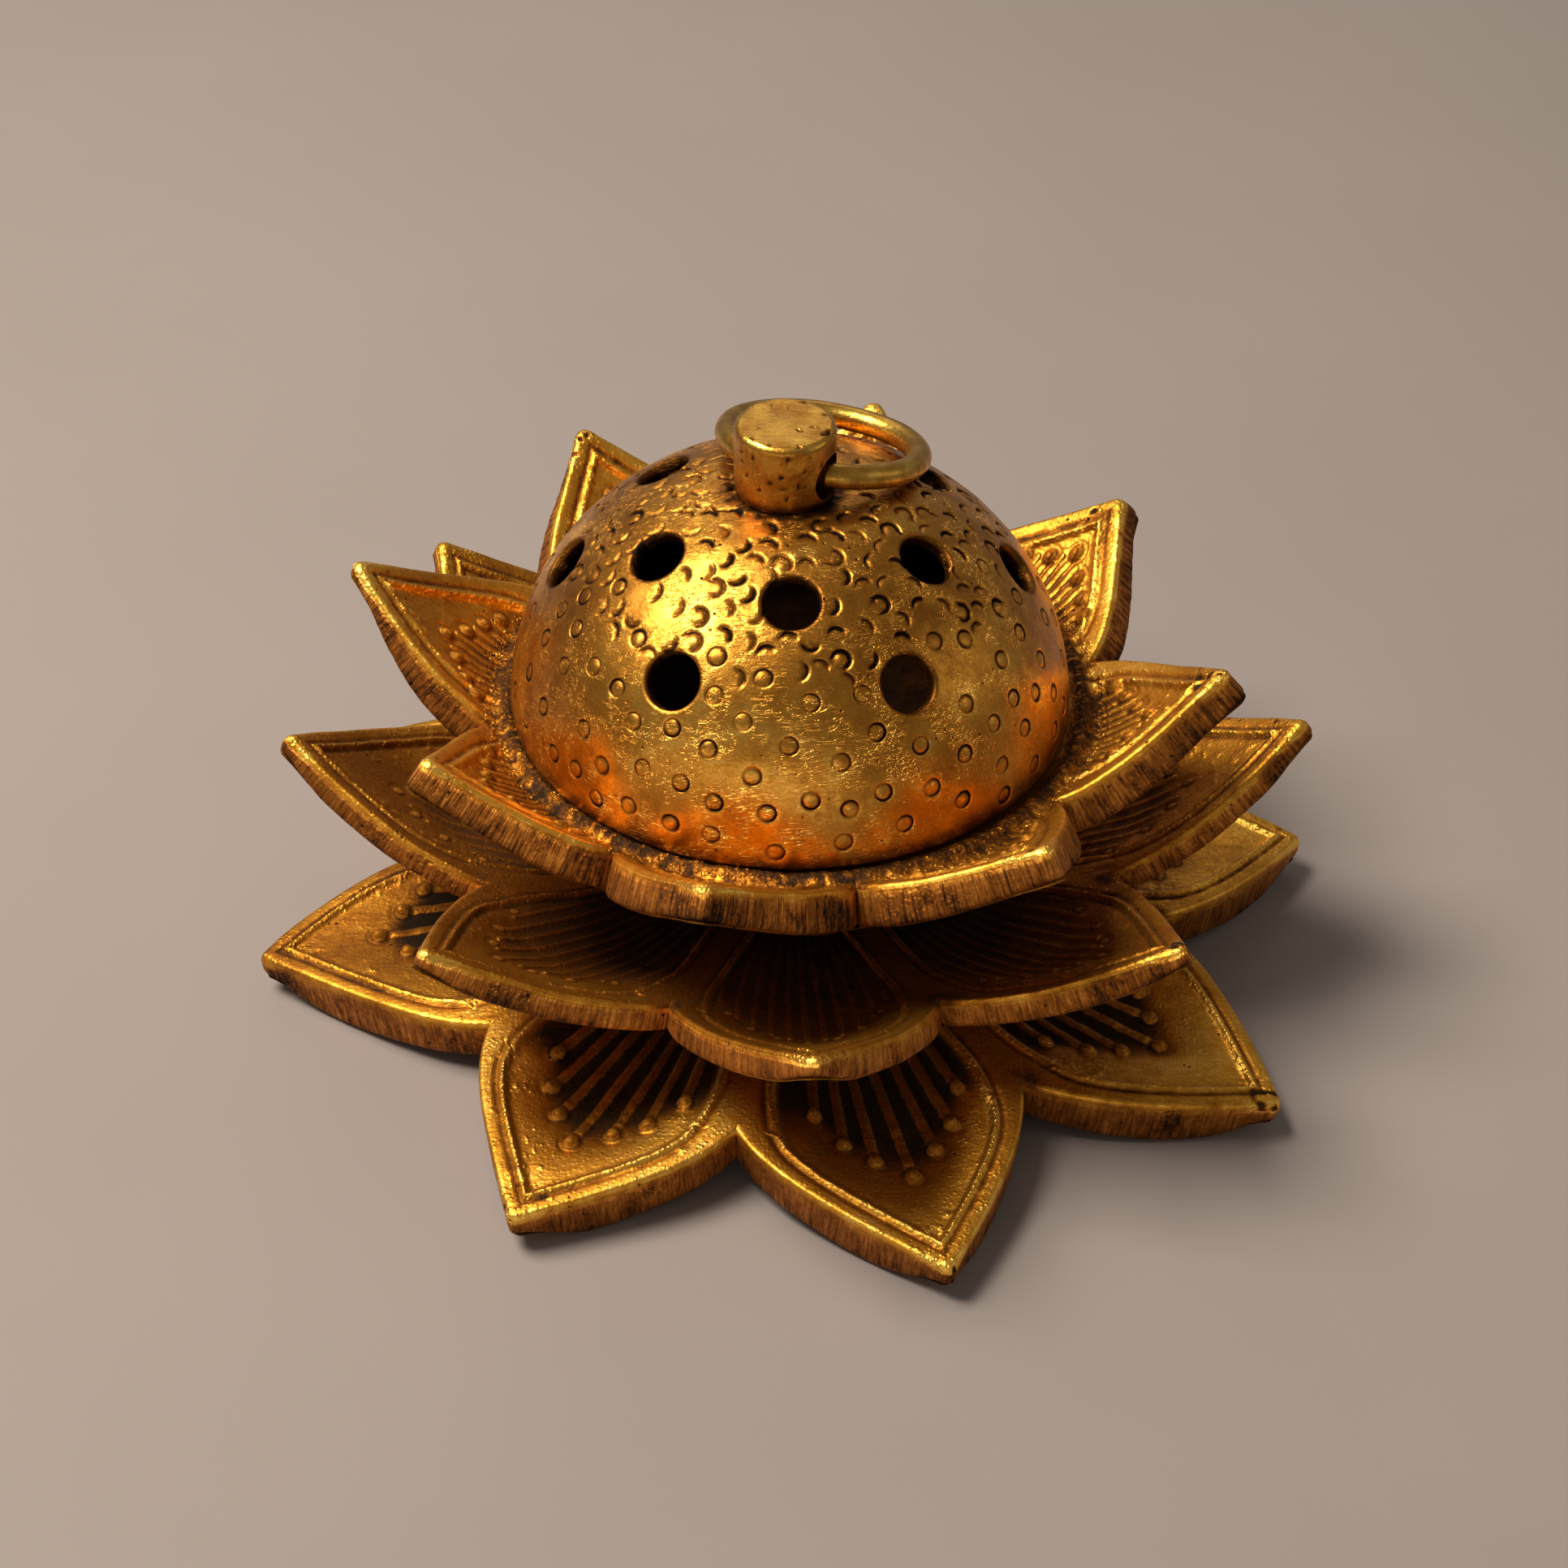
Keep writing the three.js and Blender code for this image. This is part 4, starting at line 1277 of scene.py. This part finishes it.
class Nodes:
    """A material's node tree, built from plain expressions."""

    def __init__(self, name):
        self.material = bpy.data.materials.new(name)
        self.material.use_nodes = True
        self.tree = self.material.node_tree
        self.tree.nodes.clear()

    def set(self, socket, value):
        if isinstance(value, bpy.types.NodeSocket):
            self.tree.links.new(value, socket)
        else:
            socket.default_value = value

    def add(self, kind, inputs, output=0, **settings):
        node = self.tree.nodes.new(kind)
        for key, value in settings.items():
            setattr(node, key, value)
        for key, value in inputs.items():
            self.set(node.inputs[key], value)
        return node.outputs[output] if len(node.outputs) else None

    def math(self, operation, *values):
        return self.add("ShaderNodeMath", dict(enumerate(values)), operation=operation)

    def times(self, first, second):
        return self.math("MULTIPLY", first, second)

    def sum(self, *terms):
        """The sum of (value, factor) pairs and plain values."""
        total = 0.0
        for term in terms:
            value, factor = term if isinstance(term, tuple) else (term, 1.0)
            total = self.math("MULTIPLY_ADD", value, factor, total)
        return total

    def between(self, value, low, high):
        """0 below low, 1 above high and smooth between them."""
        inputs = {"Value": value, "From Min": low, "From Max": high}
        return self.add("ShaderNodeMapRange", inputs, interpolation_type="SMOOTHSTEP")

    def noise(self, vector, scale, detail=3.0, rough=0.5, distortion=0.0):
        """Noise from -0.5 to 0.5, with about scale features in a millimetre."""
        inputs = {"Vector": vector, "Scale": scale, "Detail": detail, "Roughness": rough}
        inputs["Distortion"] = distortion
        return self.math("SUBTRACT", self.add("ShaderNodeTexNoise", inputs), 0.5)

    def cells(self, vector, scale):
        """The distance from the nearest of some scattered spots."""
        return self.add("ShaderNodeTexVoronoi", {"Vector": vector, "Scale": scale})

    def layer(self, name):
        return self.add("ShaderNodeAttribute", {}, output="Fac", attribute_name=name)

    def place(self):
        """Object coordinates in millimetres."""
        inputs = {0: self.add("ShaderNodeTexCoord", {}, output="Object"), "Scale": 1 / MM}
        return self.add("ShaderNodeVectorMath", inputs, operation="SCALE")

    def stretched(self, vector, scale, turn):
        return self.add("ShaderNodeMapping", {"Vector": vector, "Scale": scale, "Rotation": turn})

    def ramp(self, value, stops):
        """Colours along a value. stops is the colour at 0, then each position and its colour."""
        node = self.tree.nodes.new("ShaderNodeValToRGB")
        self.set(node.inputs[0], value)
        words = ["0", *stops.split()]
        elements = node.color_ramp.elements
        while len(elements) < len(words) // 2:
            elements.new(0.5)
        for element, position, code in zip(elements, words[::2], words[1::2]):
            element.position = float(position)
            element.color = colour(code)
        return node.outputs[0]

    def mix(self, share, first, second):
        node = self.tree.nodes.new("ShaderNodeMix")
        node.data_type = "RGBA"
        sockets = {s.identifier: s for s in node.inputs}
        for name, value in (("Factor_Float", share), ("A_Color", first), ("B_Color", second)):
            self.set(sockets[name], value)
        return next(s for s in node.outputs if s.identifier == "Result_Color")

    def surface(self, base, metal, rough, height):
        """Ends the tree. height is the fine relief in millimetres."""
        bump = self.add("ShaderNodeBump", {"Height": height, "Distance": MM, "Strength": 1.0})
        inputs = {"Base Color": base, "Metallic": metal, "Roughness": rough, "Normal": bump}
        inputs["Specular IOR Level"] = 0.06
        shader = self.add("ShaderNodeBsdfPrincipled", inputs)
        self.add("ShaderNodeOutputMaterial", {"Surface": shader})
        return self.material


def cast_look(name, sand, vein_edge, furrows):
    """Old cast brass: bright where it is handled, brown in the hollows, filed on the walls."""
    n = Nodes(name)
    place = n.place()
    wall, grit = n.layer("wall"), n.layer("grit")
    broad, cloudy = n.noise(place, 0.1, 3), n.noise(place, 0.55, 5, 0.6)
    grain = n.noise(place, 2.6, 5, 0.65)
    height = n.add("ShaderNodeSeparateXYZ", {0: place}, output="Z")
    beside = n.add("ShaderNodeCombineXYZ", {"X": n.layer("along"), "Y": n.times(height, 0.09)})
    filed, filed_fine = n.noise(beside, 2.9, 4, 0.75), n.noise(beside, 8.0, 3, 0.7)
    furrow = n.times(n.between(n.noise(beside, 3.4, 3, 0.65), -0.03, -0.12), wall)
    crumb = n.times(n.between(n.cells(place, 2.3), 0.55, 0.1), grit)
    speckle = n.times(n.noise(place, 2.0, 5, 0.7), grit)
    blotch = n.times(n.between(n.noise(place, 0.9, 6, 0.7), 0.05, 0.14), wall)
    few = n.between(n.noise(place, 0.45, 2), 0.02, 0.12)
    pore = n.times(n.between(n.cells(place, 0.9), 0.17, 0.08), few)
    strokes = []
    for scale, turn in (((0.35, 4.5, 1), 0.7), ((4.0, 0.3, 1), 0.35)):
        brushed = n.noise(n.stretched(place, scale, (0, 0, turn)), 1.0, 4, 0.6)
        strokes.append(n.times(brushed, n.math("SUBTRACT", 1.0, wall)))
    ragged = (n.noise(place, 1.6, 4, 0.6), 0.35)
    on_vein = n.between(n.sum(n.layer("vein"), ragged), 0.1, -0.08)
    on_dot = n.between(n.sum(n.layer("dot"), ragged), 0.08, -0.08)
    level = n.sum(
        n.layer("dirt"),
        (n.layer("wear"), -0.36),
        (broad, 0.5),
        (cloudy, 0.42),
        (grain, 0.3),
        (n.times(filed, wall), 1.5),
        (furrow, furrows),
        (pore, 0.55),
        (speckle, 1.5),
        (crumb, -0.2),
        (blotch, 0.16),
        (n.times(n.layer("bare"), on_vein), -1.0),
        # a dark ring round each dot's foot: grime there, with painted shade
        (n.between(n.layer("dot"), 0.5, 0.0), 0.25),
    )
    dot_level = n.sum(0.4, (grain, 0.7))
    level = n.sum(level, n.times(on_dot, n.math("SUBTRACT", dot_level, level)), (strokes[0], 0.3))
    base = n.mix(wall, n.ramp(level, CAST_STOPS), n.ramp(level, WALL_STOPS))
    metal = n.sum(1.0, (n.between(level, 0.4, 0.95), -0.85), (wall, -0.1), (on_dot, -0.2))
    rough = n.sum(0.4, (n.between(level, 0.0, 0.9), 0.24), (grain, 0.25), (wall, 0.04), (on_dot, 0.12))
    relief = n.sum(
        (grain, sand),
        (cloudy, 0.07),
        (strokes[0], 0.02),
        (strokes[1], 0.02),
        n.times(n.sum(0.175, (filed, 0.28), (filed_fine, 0.07)), wall),  # proud of the edge above
        (pore, -0.09),
        (crumb, 0.12),
        (on_vein, vein_edge),
        (furrow, -0.5 * furrows),
        (on_dot, 0.04),
    )
    return n.surface(base, metal, rough, relief)


def dome_look(name):
    """Spun brass, polished long ago: scratched, with dirt and painted shade in the punch marks and soot
    inside.
    """
    n = Nodes(name)
    place = n.place()
    soot = n.layer("soot")
    broad, cloudy = n.noise(place, 0.07, 3), n.noise(place, 0.4, 5, 0.6)
    grain = n.noise(place, 3.5, 4, 0.6)
    hairs = []
    for turn, fine in ((0.5, 4.2), (-0.8, 5.4), (1.4, 3.6)):
        hairs.append(n.noise(n.stretched(place, (0.4, fine, fine), (0.3, 0.2, turn)), 1.7, 3, 0.65, 0.6))
    scratch = 0.0
    for turn, lean in ((0.9, 0.4), (-0.5, 1.1), (2.2, -0.6), (0.1, 0.2)):
        lines = n.noise(n.stretched(place, (0.16, 1.5, 1.5), (lean, 0.3, turn)), 1.0, 2, 0.5)
        scratch = n.math("MAXIMUM", scratch, n.between(n.math("ABSOLUTE", lines), 0.012, 0.0))
    scratch = n.times(scratch, n.between(n.noise(place, 0.35, 3), -0.08, 0.1))
    few = n.between(n.noise(place, 0.3, 2), 0.0, 0.1)
    pore = n.times(n.between(n.cells(place, 0.8), 0.14, 0.06), few)
    level = n.sum(
        0.3,
        n.layer("dirt"),
        (broad, 0.7),
        (cloudy, 0.5),
        (grain, 0.3),
        (hairs[0], 0.16),
        (hairs[1], 0.16),
        (pore, 0.5),
        (scratch, -0.16),
        (soot, 0.3),
    )
    metal = n.sum(1.0, (n.between(level, 0.8, 1.15), -0.6))
    rough = n.sum(0.29, (n.between(level, 0.1, 1.0), 0.22), (hairs[0], 0.12), (hairs[2], 0.12), (soot, 0.2))
    relief = n.sum(
        (grain, 0.02),
        (cloudy, 0.06),
        (hairs[0], 0.007),
        (hairs[1], 0.006),
        (hairs[2], 0.006),
        (scratch, -0.03),
        (pore, -0.07),
    )
    return n.surface(n.ramp(level, DOME_STOPS), metal, rough, relief)


def worked_look(name, stops, streak_turn, dents):
    """Bar and wire brass: smoother than the castings, streaked one way and a little dented."""
    n = Nodes(name)
    place = n.place()
    cloudy, grain = n.noise(place, 0.6, 5, 0.6), n.noise(place, 4.0, 4, 0.6)
    streak = n.noise(n.stretched(place, (0.5, 5.0, 0.5), streak_turn), 1.2, 3)
    dirt, wear = n.layer("dirt"), n.layer("wear")
    level = n.sum(0.12, dirt, (cloudy, 0.5), (grain, 0.2), (streak, 0.3), (wear, -0.4))
    metal = n.sum(1.0, (n.between(level, 0.8, 1.1), -0.5))
    rough = n.sum(0.27, (n.between(level, 0.1, 1.0), 0.25), (streak, 0.25))
    relief = n.sum((grain, 0.014), (cloudy, dents), (streak, 0.02))
    return n.surface(n.ramp(level, stops), metal, rough, relief)


# ---- Build ----

BORE = 2.62  # of the three tiers, round the screw


def build_object():
    cast = cast_look("cast_brass_patina", 0.025, 0.07, 0.05)
    lower, middle = Tier("lower_petals", BORE, 3.2), Tier("middle_petals", BORE, 2.4)
    upper = Tier("upper_petals", BORE, 0.7)
    lower_rows = rising_rows(BORE, lower.valley_radius, 0.34, 1.9)
    middle_rows = rising_rows(BORE, middle.valley_radius, 0.34, 1.6)
    upper_rows = even_rows(upper, BORE, upper.valley_radius, 0.55)
    tier_piece("lower_casting", "lower_petals", "base", cast, LOWER_STYLE, lower, lower_rows)
    tier_piece("middle_casting", "middle_petals", "middle_tier", cast, MIDDLE_STYLE, middle, middle_rows)
    filed = cast_look("cast_brass_filed", 0.03, 0.1, 0.24)
    tier_piece("upper_casting", "upper_petals", "upper_tier", filed, UPPER_STYLE, upper, upper_rows)
    dome_piece(dome_look("spun_brass_punched"))
    knob_piece(worked_look("bar_brass", KNOB_STOPS, (0, 0, 0.6), 0.1))
    ring_piece(worked_look("wire_brass", WIRE_STOPS, (0, 0.4, 1.0), 0.05))
    plain = worked_look("turned_brass", KNOB_STOPS, (0, 0, 0), 0.02)
    for name, node, body, chamfer in (
        ("spacer_under_bowl", "upper_spacer", "base", 0.25),
        ("spacer_between_tiers", "lower_spacer", "base", 0.25),
        ("washer_under_screw", "screw_washer", "base", 0.12),
        ("washer_over_nut", "nut_washer", "base", 0.12),
        ("washer_in_lid", "rivet_washer", "lid", 0.12),
    ):
        washer_piece(name, node, body, plain, chamfer)
    nut_piece(plain)
    screw_piece(plain)


# ---- Stage ----


def add_floor():
    half = 3.0
    mesh = bpy.data.meshes.new("floor")
    corners = [(-half, -half, 0), (half, -half, 0), (half, half, 0), (-half, half, 0)]
    mesh.from_pydata(corners, [], [(0, 1, 2, 3)])
    floor = bpy.data.objects.new("floor", mesh)
    bpy.context.scene.collection.objects.link(floor)
    n = Nodes("pale_floor")
    cloudy = n.sum(0.5, n.noise(n.place(), 0.02, 3))
    mesh.materials.append(n.surface(n.mix(cloudy, colour("8f837a"), colour("968a81")), 0.0, 0.9, 0.0))
    floor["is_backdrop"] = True


def add_light(name, towards, distance, size, watts, tint):
    """A soft square light in some direction from the object, facing it."""
    data = bpy.data.lights.new(name, "AREA")
    data.shape = "RECTANGLE"
    data.size, data.size_y = size
    data.energy = watts
    data.color = tint
    lamp = bpy.data.objects.new(name, data)
    direction = Vector(towards).normalized()
    lamp.location = Vector((0, 0, 0.03)) + direction * distance
    lamp.rotation_euler = direction.to_track_quat("Z", "Y").to_euler()
    bpy.context.scene.collection.objects.link(lamp)


def add_camera():
    """The photograph's view: from the front, 38 degrees above the table."""
    data = bpy.data.cameras.new("camera")
    data.lens = 78.9
    data.sensor_width = 36
    camera = bpy.data.objects.new("camera", data)
    place = Vector((-0.918, -249.364, 216.411)) * MM
    target = Vector((-0.918, 0, 18.13)) * MM
    facing = (target - place).to_track_quat("-Z", "Y").to_matrix().to_4x4()
    roll = Matrix.Rotation(math.radians(0.747), 4, "Z")
    camera.matrix_world = Matrix.Translation(place) @ facing @ roll
    bpy.context.scene.collection.objects.link(camera)
    bpy.context.scene.camera = camera


def add_stage():
    add_floor()
    add_light("key", (-0.5, 0.0, 0.87), 0.55, (0.26, 0.26), 4.8, (1.0, 0.95, 0.9))
    add_light("back", (-0.1, 0.78, 0.62), 0.7, (0.5, 0.3), 0.4, (1.0, 0.95, 0.9))
    add_light("front", (-0.3, -1.0, 0.1), 0.8, (1.2, 0.2), 0.9, (1.0, 0.93, 0.84))
    add_light("side", (0.95, -0.1, 0.45), 0.9, (0.4, 0.4), 0.3, (1.0, 0.97, 0.94))
    world = bpy.data.worlds.new("studio")
    world.use_nodes = True
    background = world.node_tree.nodes["Background"]
    background.inputs["Color"].default_value = (0.75, 0.72, 0.7, 1)
    background.inputs["Strength"].default_value = 0.28
    bpy.context.scene.world = world
    bpy.context.scene.view_settings.view_transform = "Standard"
    add_camera()


build_object()
add_stage()
boxes = {"cad": cad_box, "visual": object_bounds()}
{name: [list(corner) for corner in box] for name, box in boxes.items()}
